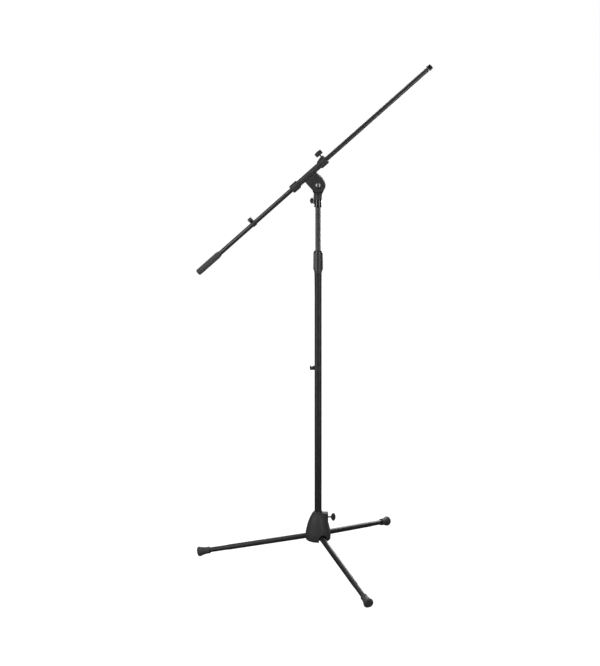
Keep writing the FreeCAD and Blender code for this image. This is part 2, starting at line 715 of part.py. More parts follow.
def cut_pockets(body, radius, roof):
    """Three open pockets under the hub, between the ribs that hold the leg pins."""
    chord = root(radius * radius - size.rib_offset * size.rib_offset)
    half_root_three = math.sqrt(3) / 2
    far_x = chord / 2 + size.rib_offset * half_root_three
    far_y = chord * half_root_three - size.rib_offset / 2
    near_x = size.rib_offset / half_root_three
    between = turned_about((0, 0, 1), size.leg_azimuth.value + 60)
    outline = [(near_x, 0), (far_x, -far_y), (far_x, far_y, radius)]
    drawing = closed_sketch(body, "XY_Plane", outline, between)
    around(body, cut(body, drawing, roof, forward=True), len(LEGS))


def cut_screw_way(body, height, tube_radius, face):
    """The threaded hole of a clamp screw along +X, with room for its pressure pad."""
    hole = size.wing_stud_r + size.slide_gap
    cut(body, circle_sketch(body, "YZ_Plane", 0, height, hole), face + 1, forward=True)
    room = size.clamp_pad_r + size.seat_gap * 4
    depth = tube_radius + size.free_gap + size.clamp_pad_thickness + size.free_gap
    cut(body, circle_sketch(body, "YZ_Plane", 0, height, room), depth, forward=True)


def hub_bush():
    bore = size.lower_tube_r + size.slide_gap
    outer = size.hub_bush_r - size.seat_gap
    return turned_part("hub_bush", box_corners(bore, outer, size.hub_bush_foot_z, size.hub_bush_top_z))


def pressure_pad(label, tube_radius, placement):
    """A disc between a clamp screw and its tube; its Z axis points out along the screw."""
    inner = tube_radius + size.free_gap
    outline = box_corners(0, size.clamp_pad_r, inner, inner + size.clamp_pad_thickness)
    return turned_part(label, outline, placement)


def leg_parts(name, turn):
    """One leg: its hinge pin in the hub, ball knuckle, tube and rubber foot."""
    frame = leg_frame(turn)
    pin_frame = frame * moved(z=size.leg_pin_s.value) * turned_about((1, 0, 0), -90)
    half = size.leg_pin_length / 2
    pin = turned_part(f"leg_pin_{name}", box_corners(0, size.leg_pin_r, -half, half), pin_frame)
    return [
        pin,
        leg_knuckle(f"leg_knuckle_{name}", frame),
        leg_tube(f"leg_tube_{name}", frame),
        rubber_foot(f"rubber_foot_{name}", frame),
    ]


def leg_knuckle(label, frame):
    pin_s = size.leg_pin_s
    shoulder = pin_s + size.knuckle_neck
    tip = pin_s + size.knuckle_plug_length
    body = turned_part(label, [
        (0, pin_s - size.knuckle_r),
        (size.knuckle_r, pin_s, size.knuckle_r),
        (size.knuckle_r, shoulder),
        (size.knuckle_plug_r, shoulder),
        (size.knuckle_plug_r, tip),
        (0, tip),
    ], frame)
    drawing = circle_sketch(body, "XZ_Plane", 0, pin_s, size.leg_pin_r + size.slide_gap)
    cut(body, drawing, size.knuckle_r * 4, both_ways=True)
    return body


def leg_tube(label, frame):
    start = size.leg_pin_s + size.knuckle_neck
    inner = size.leg_r - size.leg_wall
    end_inner = size.leg_end_r - size.leg_wall
    swage_end = size.leg_swage_s + size.leg_swage_length
    outline = [
        (inner, start),
        (size.leg_r, start),
        (size.leg_r, size.leg_swage_s),
        (size.leg_end_r, swage_end),
        (size.leg_end_r, size.leg_end_s),
        (end_inner, size.leg_end_s),
        (end_inner, swage_end),
        (inner, size.leg_swage_s),
    ]
    return turned_part(label, outline, frame)


def rubber_foot(label, frame):
    """A boot with a ring, a waist and a flare, which rests on a small flat."""
    bore = size.leg_end_r + size.seat_gap
    ring_end = size.foot_start_s + size.foot_ring_length
    edge = size.foot_ring_length / 4
    body = turned_part(label, [
        (bore, size.foot_start_s),
        (size.foot_ring_r - edge, size.foot_start_s),
        (size.foot_ring_r, size.foot_start_s + edge),
        (size.foot_ring_r, ring_end - edge),
        (size.foot_waist_r, ring_end + size.foot_waist_length),
        (size.foot_flare_r, size.foot_flare_s, -size.foot_flare_arc),
        (size.foot_face_r, size.foot_end_s, size.foot_edge_arc),
        (0, size.foot_end_s),
        (0, size.leg_end_s),
        (bore, size.leg_end_s),
    ], frame)
    slope = tangent(size.leg_slope)
    secant = root(slope * slope + 1)
    far_s = size.foot_end_s + size.foot_flare_r
    near_drop = size.leg_root_z * secant - size.foot_start_s * slope
    far_drop = size.leg_root_z * secant - far_s * slope
    below = size.foot_flare_r * 4
    outline = [(near_drop, size.foot_start_s), (below, size.foot_start_s), (below, far_s),
               (far_drop, far_s)]
    cut(body, closed_sketch(body, "XZ_Plane", outline), size.foot_flare_r * 4, both_ways=True)
    return body


# ---------------------------------------------------------------- swivel head


def swivel_socket():
    bore = size.mast_r + size.slide_gap
    lip_top = size.socket_foot_z + size.socket_lip_height
    edge = size.socket_lip_edge
    body = turned_part("swivel_socket", [
        (bore, size.socket_foot_z),
        (size.socket_lip_r - edge, size.socket_foot_z),
        (size.socket_lip_r, size.socket_foot_z + edge),
        (size.socket_lip_r, lip_top - edge * 2),
        (size.socket_r, lip_top),
        (size.socket_r, size.socket_top_z),
        (bore, size.socket_top_z),
    ])
    cut_plate_seat(body)
    return body


def cut_plate_seat(body):
    """A flat on the -X side that the clamp plate lies on, and the hole of its screw."""
    far = -size.plate_outer_x * 2
    near = size.seat_gap - size.plate_inner_x
    seat = box_corners(far, near, size.plate_foot_z, size.plate_top_z)
    width = (size.plate_half_width + size.seat_gap) * 2
    cut(body, closed_sketch(body, "XZ_Plane", seat), width, both_ways=True)
    hole = size.wing_stud_r + size.slide_gap
    drawing = circle_sketch(body, "YZ_Plane", 0, size.head_screw_z, hole)
    cut(body, drawing, size.plate_outer_x * 2)


def swivel_neck():
    """The moulded neck over the socket, with the flat tongue that the cradle tilts on."""
    bore = size.socket_r + size.seat_gap
    roof = size.socket_top_z + size.seat_gap
    edge = size.free_gap * 2
    body = turned_part("swivel_neck", [
        (bore, size.neck_foot_z),
        (size.neck_r - edge, size.neck_foot_z),
        (size.neck_r, size.neck_foot_z + edge),
        (size.neck_r, size.neck_flare_z),
        (size.neck_top_r, size.neck_top_z, -size.neck_top_r * 2),
        (0, size.neck_top_z),
        (0, roof),
        (bore, roof),
    ])
    thickness = size.tongue_half * 2
    middle = size.neck_top_z - edge
    root_outline = [
        (-size.neck_top_r, middle),
        (size.neck_top_r, middle),
        (size.tongue_blend_half, size.tongue_blend_z),
        (-size.tongue_blend_half, size.tongue_blend_z),
    ]
    pad(body, closed_sketch(body, "XZ_Plane", root_outline), thickness, both_ways=True)
    pad(body, circle_sketch(body, "XZ_Plane", 0, size.pivot_z, size.cheek_r), thickness, both_ways=True)
    hole = size.pivot_r + size.slide_gap
    cut(body, circle_sketch(body, "XZ_Plane", 0, size.pivot_z, hole), thickness * 2, both_ways=True)
    seat = box_corners(-size.plate_outer_x * 2, size.seat_gap - size.plate_inner_x,
                       size.neck_foot_z - 1, size.plate_top_z + size.seat_gap)
    width = (size.plate_half_width + size.seat_gap) * 2
    cut(body, closed_sketch(body, "XZ_Plane", seat), width, both_ways=True)
    return body


def clamp_plate():
    body = new_body("clamp_plate")
    outline = box_corners(-size.plate_outer_x, -size.plate_inner_x, size.plate_foot_z, size.plate_top_z)
    pad(body, closed_sketch(body, "XZ_Plane", outline), size.plate_half_width * 2, both_ways=True)
    hole = size.wing_stud_r + size.slide_gap
    cut(body, circle_sketch(body, "YZ_Plane", 0, size.head_screw_z, hole), size.plate_outer_x * 2)
    outer_x = -size.plate_outer_x.value
    dress(body, "Fillet", size.plate_edge, lambda edge: lies_at(edge, x=outer_x) and not edge.Closed)
    return body


# ---------------------------------------------------------------- tilt pivot


def pivot_side_frame():
    """Origin at the pivot, Z along the pivot screw towards its head."""
    return moved(z=size.pivot_z.value) * turned_about((1, 0, 0), 90)


def pivot_screw():
    body = turned_part("pivot_screw", [
        (0, -size.cheek_half),
        (size.pivot_r, -size.cheek_half),
        (size.pivot_r, size.recess_floor),
        (size.screw_head_r, size.recess_floor),
        (size.screw_head_r, size.recess_floor + size.screw_head_edge),
        (0, size.screw_head_top, size.screw_head_arc),
    ], pivot_side_frame())
    half = size.screw_slot_width / 2
    slot = box_corners(-half, half, size.screw_slot_floor, size.screw_head_top * 2)
    drawing = closed_sketch(body, "XZ_Plane", slot)
    cut(body, drawing, size.screw_head_r * 4, both_ways=True)
    return body


def pivot_nut():
    """A plain hexagon nut in the rear recess."""
    body = new_body("pivot_nut", pivot_side_frame())
    flat = size.nut_flat / 2
    corner = flat / (math.sqrt(3) / 2)
    outline = [(corner, 0), (corner / 2, flat), (-corner / 2, flat), (-corner, 0),
               (-corner / 2, -flat), (corner / 2, -flat)]
    drawing = closed_sketch(body, "XY_Plane", outline, moved(z=-size.nut_outer.value))
    pad(body, drawing, size.nut_outer - size.recess_floor)
    hole = size.pivot_r + size.seat_gap
    drawing = circle_sketch(body, "XY_Plane", 0, 0, hole)
    cut(body, drawing, size.nut_outer * 4, both_ways=True)
    outer_z = -size.nut_outer.value
    dress(body, "Chamfer", size.nut_chamfer, lambda edge: lies_at(edge, z=outer_z) and not edge.Closed)
    return body


def friction_washer(label, start):
    hole = size.pivot_r + size.slide_gap
    outline = box_corners(hole, size.washer_r, start, start + size.washer_thickness)
    return turned_part(label, outline, pivot_side_frame())


# ---------------------------------------------------------------- boom cradle


def boom_cradle():
    """Two cheeks and a web under a sleeve, with a collar at each end and a clamp boss."""
    body = new_body("boom_cradle", pivot_frame())
    width = size.cheek_half * 2
    web = [(size.cheek_r, size.web_top), (-size.cheek_r, size.web_top), (-size.cheek_r, 0),
           (size.cheek_r, 0, size.cheek_r)]
    pad(body, closed_sketch(body, "XZ_Plane", web), width, both_ways=True)
    web_top = size.web_top.value
    dress(body, "Chamfer", size.web_shoulder, lambda edge: lies_at(edge, z=web_top) and (
        edge.BoundBox.XLength > size.cheek_r.value))
    add_sleeve(body)
    add_clamp_boss(body)
    bore_cradle(body)
    return body


def add_sleeve(body):
    """A sleeve round the boom and a collar at each of its ends, all along X."""
    axis = size.boom_offset
    start = moved(z=size.rear_collar_start.value)
    drawing = circle_sketch(body, "YZ_Plane", 0, axis, size.sleeve_r, start)
    pad(body, drawing, size.front_collar_start - size.rear_collar_start)
    for near, far in (
        (size.front_collar_start, size.front_collar_end),
        (size.rear_collar_end, size.rear_collar_start),
    ):
        drawing = circle_sketch(body, "YZ_Plane", 0, axis, size.collar_r, moved(z=near.value))
        pad(body, drawing, far - near)
        ends = (near.value, far.value)
        dress(body, "Fillet", size.collar_edge, lambda edge: is_round(edge, size.collar_r.value) and (
            lies_at(edge, x=ends[0]) or lies_at(edge, x=ends[1])) and edge.Closed)


def add_clamp_boss(body):
    """The boss on the front collar rises from its rear edge to the clamp screw."""
    axis = size.boom_offset
    top = axis + size.clamp_boss_top
    corner = size.clamp_boss_corner
    low = axis + size.collar_r - 1
    outline = [
        (size.front_collar_start + 1, low),
        (size.front_collar_start + 1, axis),
        (size.front_collar_end - 1, axis),
        (size.front_collar_end - 1, low),
        (size.clamp_boss_fall, top - corner),
        (size.clamp_boss_fall - corner, top),
        (size.clamp_boss_rise, top),
    ]
    drawing = closed_sketch(body, "XZ_Plane", outline)
    pad(body, drawing, size.clamp_boss_half * 2, both_ways=True)
    upper = (top.value - corner.value - EDGE_BAND, top.value)
    dress(body, "Fillet", size.clamp_boss_edge, lambda edge: lies_at(edge, z=upper) and (
        edge.BoundBox.YLength < NEAR))


def bore_cradle(body):
    """The way of the boom, the slot between the cheeks, and the holes of both screws."""
    axis = size.boom_offset
    collar_bore = size.boom_r + size.slide_gap
    drawing = circle_sketch(body, "YZ_Plane", 0, axis, collar_bore)
    cut(body, drawing, size.front_collar_end * 4, both_ways=True)
    sleeve_bore = size.boom_r + size.sleeve_gap
    start = moved(z=size.rear_collar_start.value)
    drawing = circle_sketch(body, "YZ_Plane", 0, axis, sleeve_bore, start)
    cut(body, drawing, size.front_collar_start - size.rear_collar_start, forward=True)
    reach = size.cheek_slot_r
    slot = [(reach, 0), (-reach, 0, reach), (-reach, -reach), (reach, -reach)]
    cut(body, closed_sketch(body, "XZ_Plane", slot), size.cheek_inner * 2, both_ways=True)
    hole = circle_sketch(body, "XZ_Plane", 0, 0, size.pivot_r + size.seat_gap)
    cut(body, hole, size.cheek_half * 4, both_ways=True)
    for side in (-1, 1):
        floor = moved(z=side * size.recess_floor.value)
        drawing = circle_sketch(body, "XZ_Plane", 0, 0, size.recess_r, floor)
        cut(body, drawing, size.cheek_half, forward=side > 0)
    screw_x = size.clamp_screw_x
    height = moved(z=axis.value)
    stud_hole = size.wing_stud_r + size.slide_gap
    drawing = circle_sketch(body, "XY_Plane", screw_x, 0, stud_hole, height)
    cut(body, drawing, size.clamp_boss_top + 1, forward=True)
    drawing = circle_sketch(body, "XY_Plane", screw_x, 0, size.clamp_pad_r + size.seat_gap * 4, height)
    depth = size.boom_r + size.free_gap + size.clamp_pad_thickness + size.free_gap
    cut(body, drawing, depth, forward=True)
    doc.recompute()
    cheek = size.cheek_half.value
    dress(body, "Fillet", size.cheek_edge, lambda edge: lies_at(edge, y=-cheek) and outer_edge(edge)
          or lies_at(edge, y=cheek) and outer_edge(edge))


def outer_edge(edge):
    """Is this an edge of a cheek's outline, not of the recess round the pivot?"""
    return not is_round(edge, size.recess_r.value)


# ---------------------------------------------------------------- boom


def boom_tube():
    outline = box_corners(size.boom_r - size.boom_wall, size.boom_r, size.boom_rear, size.boom_front)
    return turned_part("boom_tube", outline, boom_frame())


def boom_grip():
    bore = size.boom_r + size.seat_gap
    edge = size.grip_edge
    outline = [
        (0, size.grip_rear),
        (size.grip_r - edge, size.grip_rear),
        (size.grip_r, size.grip_rear + edge, edge),
        (size.grip_r, size.grip_taper),
        (size.grip_neck_r, size.grip_front),
        (bore, size.grip_front),
        (bore, size.boom_rear),
        (0, size.boom_rear),
    ]
    return turned_part("boom_grip", outline, boom_frame())


def boom_end_insert():
    plug = size.boom_r - size.boom_wall - size.seat_gap
    outline = [
        (0, size.boom_front - size.insert_depth),
        (plug, size.boom_front - size.insert_depth),
        (plug, size.boom_front),
        (size.boom_r, size.boom_front),
        (size.boom_r, size.boom_front + size.insert_flange),
        (size.stud_r, size.boom_front + size.insert_flange),
        (size.stud_r, size.stud_end),
        (0, size.stud_end),
    ]
    return turned_part("boom_end_insert", outline, boom_frame())


def lock_washer():
    start = size.boom_front + size.insert_flange
    outline = box_corners(size.stud_r + size.slide_gap, size.lock_washer_r, start,
                          start + size.lock_washer_thickness)
    return turned_part("lock_washer", outline, boom_frame())


def thread_adapter():
    start = size.boom_front + size.insert_flange + size.lock_washer_thickness + size.free_gap
    bore = size.stud_r + size.slide_gap
    chamfer = size.adapter_chamfer
    body = turned_part("thread_adapter", [
        (bore, start),
        (size.adapter_r, start),
        (size.adapter_r, size.adapter_end - chamfer),
        (size.adapter_r - chamfer, size.adapter_end),
        (bore, size.adapter_end),
    ], boom_frame())
    half = size.adapter_slot_width / 2
    slot = box_corners(-half, half, size.adapter_end - size.adapter_slot_depth, size.adapter_end + 1)
    cut(body, closed_sketch(body, "XZ_Plane", slot), size.adapter_r * 4, both_ways=True)
    return body


# ---------------------------------------------------------------- wing screws


def wing_stud(label, inner, outer, placement):
    """The threaded stud of a clamp screw, from its tip to inside the wing head."""
    return turned_part(label, box_corners(0, size.wing_stud_r, inner, outer), placement)


def wing_head(label, start, shape, placement):
    """A flat wing moulded on a stud: a fan with a convex crown, in the XZ plane."""
    half_root, spread, half, side, crown = shape
    body = new_body(label, placement)
    outline = [
        (half_root, start),
        (half, start + spread),
        (half, start + spread + side),
        (-half, start + spread + side, crown),
        (-half, start + spread),
        (-half_root, start),
    ]
    pad(body, closed_sketch(body, "XZ_Plane", outline), size.wing_thickness, both_ways=True)
    dress(body, "Fillet", size.wing_edge, lambda edge: not lies_at(edge, z=start.value))
    lift = moved(z=start.value)
    drawing = circle_sketch(body, "XY_Plane", 0, 0, size.wing_hub_r, lift)
    pad(body, drawing, spread)
    hole = size.wing_stud_r + size.seat_gap
    drawing = circle_sketch(body, "XY_Plane", 0, 0, hole, lift)
    cut(body, drawing, spread + side / 2, forward=True)
    return body


def wing_screw(name, tip, start, shape, placement):
    """A stud and its head; the stud runs from the pressure pad into the head."""
    half_root, spread, half, side, crown = shape
    return [
        wing_stud(f"{name}_stud", tip, start + spread + side / 2, placement),
        wing_head(f"{name}_head", start, shape, placement),
    ]


def wing_screws():
    wide = (size.wing_root_half, size.wing_spread, size.wing_half_width, size.wing_side,
            size.wing_crown_arc)
    small = (size.thumb_root_half, size.thumb_spread, size.thumb_half_width, size.thumb_side,
             size.thumb_crown_arc)
    knob = (size.knob_root_half, size.knob_spread, size.knob_half_width, size.knob_side,
            size.knob_crown_arc)
    over_pad = size.free_gap * 2 + size.clamp_pad_thickness
    hub_frame = moved(z=size.hub_screw_z.value) * turned_about((0, 1, 0), 90)
    head_frame = moved(z=size.head_screw_z.value) * turned_about((0, 1, 0), -90)
    clamp_frame = pivot_frame() * moved(size.clamp_screw_x.value, 0, size.boom_offset.value)
    return (
        wing_screw("hub_wing", size.lower_tube_r + over_pad, size.hub_wing_start, wide, hub_frame)
        + wing_screw("head_wing", size.mast_r + size.free_gap, size.thumb_start, small, head_frame)
        + wing_screw("boom_wing", size.boom_r + over_pad, size.boom_wing_start, knob, clamp_frame)
        + [
            pressure_pad("hub_pressure_pad", size.lower_tube_r, hub_frame),
            pressure_pad("boom_pressure_pad", size.boom_r, clamp_frame),
        ]
    )


# ---------------------------------------------------------------- cable clips


def cable_clip(label, tube_radius, length, opening, placement):
    """A split ring on a tube with an open ring for a cable beside it, on its +X side."""
    body = new_body(label, placement)
    ring = tube_radius + size.clip_wall
    cable_ring = size.clip_cable_r + size.clip_cable_wall
    cable_x = ring + cable_ring - size.clip_overlap
    pad(body, circle_sketch(body, "XY_Plane", 0, 0, ring), length)
    pad(body, circle_sketch(body, "XY_Plane", cable_x, 0, cable_ring), length)
    bore = tube_radius + size.clip_bore_gap
    cut(body, circle_sketch(body, "XY_Plane", 0, 0, bore), length * 3, both_ways=True)
    drawing = circle_sketch(body, "XY_Plane", cable_x, 0, size.clip_cable_r)
    cut(body, drawing, length * 3, both_ways=True)
    half = opening / 2
    slit = box_corners(-ring * 2, 0, -half, half)
    cut(body, closed_sketch(body, "XY_Plane", slit), length * 3, both_ways=True)
    half = size.clip_mouth / 2
    mouth = box_corners(cable_x - half, cable_x + half, -cable_ring * 2, 0)
    cut(body, closed_sketch(body, "XY_Plane", mouth), length * 3, both_ways=True)
    return body


def cable_clips():
    column_place = moved(z=size.column_clip_foot_z.value) * turned_about((0, 0, 1), 180)
    boom_place = boom_frame() * moved(z=size.boom_clip_rear.value) * turned_about((0, 0, 1), 180)
    return [
        cable_clip("column_cable_clip", size.lower_tube_r, size.column_clip_height,
                   size.column_clip_slit, column_place),
        cable_clip("boom_cable_clip", size.boom_r, size.boom_clip_length, size.boom_clip_slit,
                   boom_place),
    ]


# ---------------------------------------------------------------- assembly


def build():
    """Every sub-part, in the order of the assembly."""
    parts = [lower_tube(), tube_end_plug(), clutch_ferrule(), clutch_collet(), clutch_grip()]
    parts += [mast_tube(), mast_guide_bush(), hub_shell(), hub_bush()]
    for name, turn in LEGS.items():
        parts += leg_parts(name, turn)
    parts += [swivel_socket(), swivel_neck(), clamp_plate(), pivot_screw(), pivot_nut()]
    parts += [
        friction_washer("friction_washer_front", size.cheek_inner - size.washer_thickness),
        friction_washer("friction_washer_rear", -size.cheek_inner),
    ]
    parts += [boom_cradle(), boom_tube(), boom_grip(), boom_end_insert(), lock_washer()]
    parts += [thread_adapter()]
    return parts + wing_screws() + cable_clips()


def check(parts):
    """Stop if any object failed or any sub-part isn't one sound solid."""
    for item in doc.Objects:
        if "Invalid" in item.State or "Error" in item.State:
            raise RuntimeError(f"{item.Label} failed: {item.State}")
    for part in parts:
        shape = part.Shape
        if shape.isNull() or not shape.isValid() or len(shape.Solids) != 1 or shape.Volume <= 0:
            raise RuntimeError(f"{part.Label} is not one valid solid")


def export(parts):
    os.makedirs("parts", exist_ok=True)
    for part in parts:
        part.Shape.exportStep(os.path.join("parts", f"{part.Label}.step"))
        print(f"{part.Label}: {part.Shape.Volume / 1000:.2f} cm3")


PARTS = build()
doc.recompute()
check(PARTS)
export(PARTS)
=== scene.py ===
"""Looks of the boom microphone stand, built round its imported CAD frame. Metres, +Z up."""

import json
import math
from collections import namedtuple

import bmesh
import bpy
from mathutils import Matrix, Vector


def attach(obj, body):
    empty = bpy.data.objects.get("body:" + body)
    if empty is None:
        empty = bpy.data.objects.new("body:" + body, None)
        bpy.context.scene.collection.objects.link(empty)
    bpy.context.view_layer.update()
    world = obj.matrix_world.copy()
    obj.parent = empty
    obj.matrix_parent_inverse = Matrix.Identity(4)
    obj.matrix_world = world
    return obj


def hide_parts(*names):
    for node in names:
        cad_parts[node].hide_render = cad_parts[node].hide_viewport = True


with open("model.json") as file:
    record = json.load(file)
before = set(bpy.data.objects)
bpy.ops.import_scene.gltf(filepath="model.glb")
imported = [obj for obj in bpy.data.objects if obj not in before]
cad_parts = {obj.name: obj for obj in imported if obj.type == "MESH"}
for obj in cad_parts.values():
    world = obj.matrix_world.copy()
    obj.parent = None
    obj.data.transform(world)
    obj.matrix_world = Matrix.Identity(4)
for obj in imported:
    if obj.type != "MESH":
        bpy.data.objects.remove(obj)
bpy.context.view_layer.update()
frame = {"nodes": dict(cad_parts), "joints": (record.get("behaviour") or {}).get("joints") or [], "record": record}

MM = 0.001
X, Y, Z = Vector((1, 0, 0)), Vector((0, 1, 0)), Vector((0, 0, 1))
JOINTS = {joint["name"]: joint for joint in frame["joints"]}
LEGS = ("rear", "left", "front")
LEG_SLOPE = 11.8  # degrees below level

PIVOT = Vector(JOINTS["boom_tilt"]["pos_m"])
BOOM_WAY = Vector(JOINTS["boom_slide"]["axis"]).normalized()
BOOM_UP = Vector((-BOOM_WAY.z, 0, BOOM_WAY.x))
BOOM_START = PIVOT + BOOM_UP * (Vector(JOINTS["adapter_turn"]["pos_m"]) - PIVOT).dot(BOOM_UP)


# ---------------------------------------------------------------- places


def place(origin, axis, side):
    """A matrix whose Z runs along axis and whose X is as near to side as it can be."""
    z = Vector(axis).normalized()
    x = (Vector(side) - z * Vector(side).dot(z)).normalized()
    y = z.cross(x)
    turn = Matrix((x, y, z)).transposed().to_4x4()
    return Matrix.Translation(origin) @ turn


def leg_place(name):
    """Origin where the leg's axis meets the column; Z out along the leg, X down, Y along its pin."""
    joint = JOINTS[f"leg_{name}_fold"]
    pin = Vector(joint["pos_m"])
    sideways = Vector(joint["axis"]).normalized()
    outward = sideways.cross(Z)
    slope = math.radians(LEG_SLOPE)
    along = outward * math.cos(slope) - Z * math.sin(slope)
    root = pin - along * (Vector((pin.x, pin.y, 0)).length / math.cos(slope))
    return place(root, along, -Z)


UPRIGHT = Matrix.Identity(4)
BOOM_PLACE = place(BOOM_START, BOOM_WAY, BOOM_UP)
PIVOT_PLACE = place(PIVOT, -Y, X)
HUB_SCREW_PLACE = place(Z * JOINTS["hub_wing_turn"]["pos_m"][2], X, Z)
HEAD_SCREW_PLACE = place(Z * JOINTS["head_wing_turn"]["pos_m"][2], -X, Z)
BOOM_SCREW_X = (Vector(JOINTS["boom_wing_turn"]["pos_m"]) - PIVOT).dot(BOOM_WAY)
BOOM_SCREW_PLACE = place(BOOM_START + BOOM_WAY * BOOM_SCREW_X, BOOM_UP, BOOM_WAY)
LEG_PLACES = {name: leg_place(name) for name in LEGS}


def reach(node, where):
    """How far a CAD node reaches along a place's Z axis, and from that axis, in millimetres."""
    back = where.inverted()
    points = [back @ vertex.co for vertex in frame["nodes"][node].data.vertices]
    far = max(math.hypot(point.x, point.y) for point in points)
    low, high = min(point.z for point in points), max(point.z for point in points)
    return low / MM, high / MM, far / MM


# ---------------------------------------------------------------- materials

RANGE_SOCKETS = ("From Min", "From Max", "To Min", "To Max")


class Nodes:
    """A short way to write a material's node tree."""

    def __init__(self, name):
        self.material = bpy.data.materials.new(name)
        self.material.use_nodes = True
        self.tree = self.material.node_tree
        self.shader = self.tree.nodes["Principled BSDF"]
        self.where = self.add("ShaderNodeTexCoord").outputs["Object"]

    def add(self, kind, **settings):
        node = self.tree.nodes.new(kind)
        for key, value in settings.items():
            setattr(node, key, value)
        return node

    def link(self, source, target):
        self.tree.links.new(source, target)

    def stretched(self, scale):
        """Object coordinates, scaled differently along each axis."""
        mapping = self.add("ShaderNodeMapping")
        mapping.inputs["Scale"].default_value = scale
        self.link(self.where, mapping.inputs["Vector"])
        return mapping.outputs["Vector"]

    def noise(self, scale, detail=3.0, roughness=0.55, where=None):
        node = self.add("ShaderNodeTexNoise")
        node.inputs["Scale"].default_value = scale
        node.inputs["Detail"].default_value = detail
        node.inputs["Roughness"].default_value = roughness
        self.link(where or self.where, node.inputs["Vector"])
        return node.outputs["Fac"]

    def cells(self, scale):
        node = self.add("ShaderNodeTexVoronoi", feature="F1")
        node.inputs["Scale"].default_value = scale
        self.link(self.where, node.inputs["Vector"])
        return node.outputs["Distance"]

    def spread(self, value, low, high, new_low=0.0, new_high=1.0):
        """Map a value's range onto another, clamped."""
        node = self.add("ShaderNodeMapRange", clamp=True)
        self.link(value, node.inputs["Value"])
        for limit, number in zip(RANGE_SOCKETS, (low, high, new_low, new_high)):
            node.inputs[limit].default_value = number
        return node.outputs["Result"]

    def blend(self, factor, first, second):
        """A colour between two, by a factor; each is a colour or an output."""
        node = self.add("ShaderNodeMix", data_type="RGBA")
        self.link(factor, node.inputs["Factor"])
        for socket, colour in (("A", first), ("B", second)):
            target = next(s for s in node.inputs if s.name == socket and s.type == "RGBA")
            if isinstance(colour, tuple):
                target.default_value = (*colour, 1.0)
            else:
                self.link(colour, target)
        return next(s for s in node.outputs if s.type == "RGBA")

    def sum(self, first, second, share):
        """first + second * share"""
        node = self.add("ShaderNodeMath", operation="MULTIPLY_ADD")
        self.link(second, node.inputs[0])
        node.inputs[1].default_value = share
        self.link(first, node.inputs[2])
        return node.outputs[0]

    def bump(self, height, distance, strength=1.0):
        node = self.add("ShaderNodeBump")
        node.inputs["Strength"].default_value = strength
        node.inputs["Distance"].default_value = distance
        self.link(height, node.inputs["Height"])
        self.link(node.outputs["Normal"], self.shader.inputs["Normal"])

    def edges(self, low, high):
        """High where the surface is a sharp outer edge, from the mesh's own curvature."""
        node = self.add("ShaderNodeNewGeometry")
        return self.spread(node.outputs["Pointiness"], low, high)

    def set(self, **values):
        for key, value in values.items():
            self.shader.inputs[key.replace("_", " ")].default_value = value

    def colour(self, output):
        self.link(output, self.shader.inputs["Base Color"])

    def roughness(self, output):
        self.link(output, self.shader.inputs["Roughness"])


def coated_metal(name, dark, light, rough_low, rough_high, grain=1400.0, specular=0.42):
    """Satin black powder coat: a fine orange peel, faint cloudiness and rubbed edges."""
    nodes = Nodes(name)
    cloud = nodes.noise(38.0, 4.0)
    base = nodes.blend(nodes.spread(cloud, 0.3, 0.7), dark, light)
    rubbed = nodes.noise(260.0, 5.0, 0.7)
    edge = nodes.sum(nodes.edges(0.53, 0.62), nodes.spread(rubbed, 0.35, 0.65, -1.0, 0.0), 0.8)
    worn = tuple(channel * 5 + 0.03 for channel in light)
    nodes.colour(nodes.blend(nodes.spread(edge, 0.0, 1.0, 0.0, 0.35), base, worn))
    scuffs = nodes.noise(90.0, 6.0, 0.75)
    nodes.roughness(nodes.spread(scuffs, 0.3, 0.7, rough_low, rough_high))
    peel = nodes.sum(nodes.noise(grain, 2.0), nodes.noise(grain * 0.3, 2.0), 0.6)
    nodes.bump(peel, 0.00003, 0.2)
    nodes.set(Specular_IOR_Level=specular)
    return nodes.material


def moulded_plastic(name, dark, light, rough_low, rough_high):
    """Moulded nylon: a fine spark-eroded grain, cloudy colour and edges a little polished."""
    nodes = Nodes(name)
    grain = 2600.0
    cloud = nodes.noise(70.0, 5.0, 0.6)
    base = nodes.blend(nodes.spread(cloud, 0.3, 0.7), dark, light)
    worn = tuple(channel * 2.2 + 0.006 for channel in light)
    nodes.colour(nodes.blend(nodes.spread(nodes.edges(0.53, 0.64), 0.0, 1.0, 0.0, 0.5), base, worn))
    nodes.roughness(nodes.spread(nodes.noise(150.0, 6.0, 0.7), 0.3, 0.7, rough_low, rough_high))
    nodes.bump(nodes.sum(nodes.noise(grain, 3.0), nodes.cells(grain * 0.6), 0.5), 0.00002, 0.6)
    nodes.set(Specular_IOR_Level=0.35)
    return nodes.material


def rubber(name, dark, light, grain=900.0):
    """Matt rubber with dust in its grain and paler rubbed edges."""
    nodes = Nodes(name)
    dust = nodes.noise(320.0, 6.0, 0.75)
    base = nodes.blend(nodes.spread(dust, 0.4, 0.72), dark, light)
    worn = tuple(channel * 1.9 + 0.01 for channel in light)
    nodes.colour(nodes.blend(nodes.edges(0.52, 0.62), base, worn))
    nodes.roughness(nodes.spread(nodes.noise(60.0, 4.0), 0.3, 0.7, 0.62, 0.86))
    nodes.bump(nodes.sum(nodes.noise(grain, 4.0, 0.7), nodes.noise(grain * 4, 2.0), 0.4), 0.00006, 0.6)
    nodes.set(Specular_IOR_Level=0.3, Sheen_Weight=0.08, Sheen_Roughness=0.5)
    return nodes.material


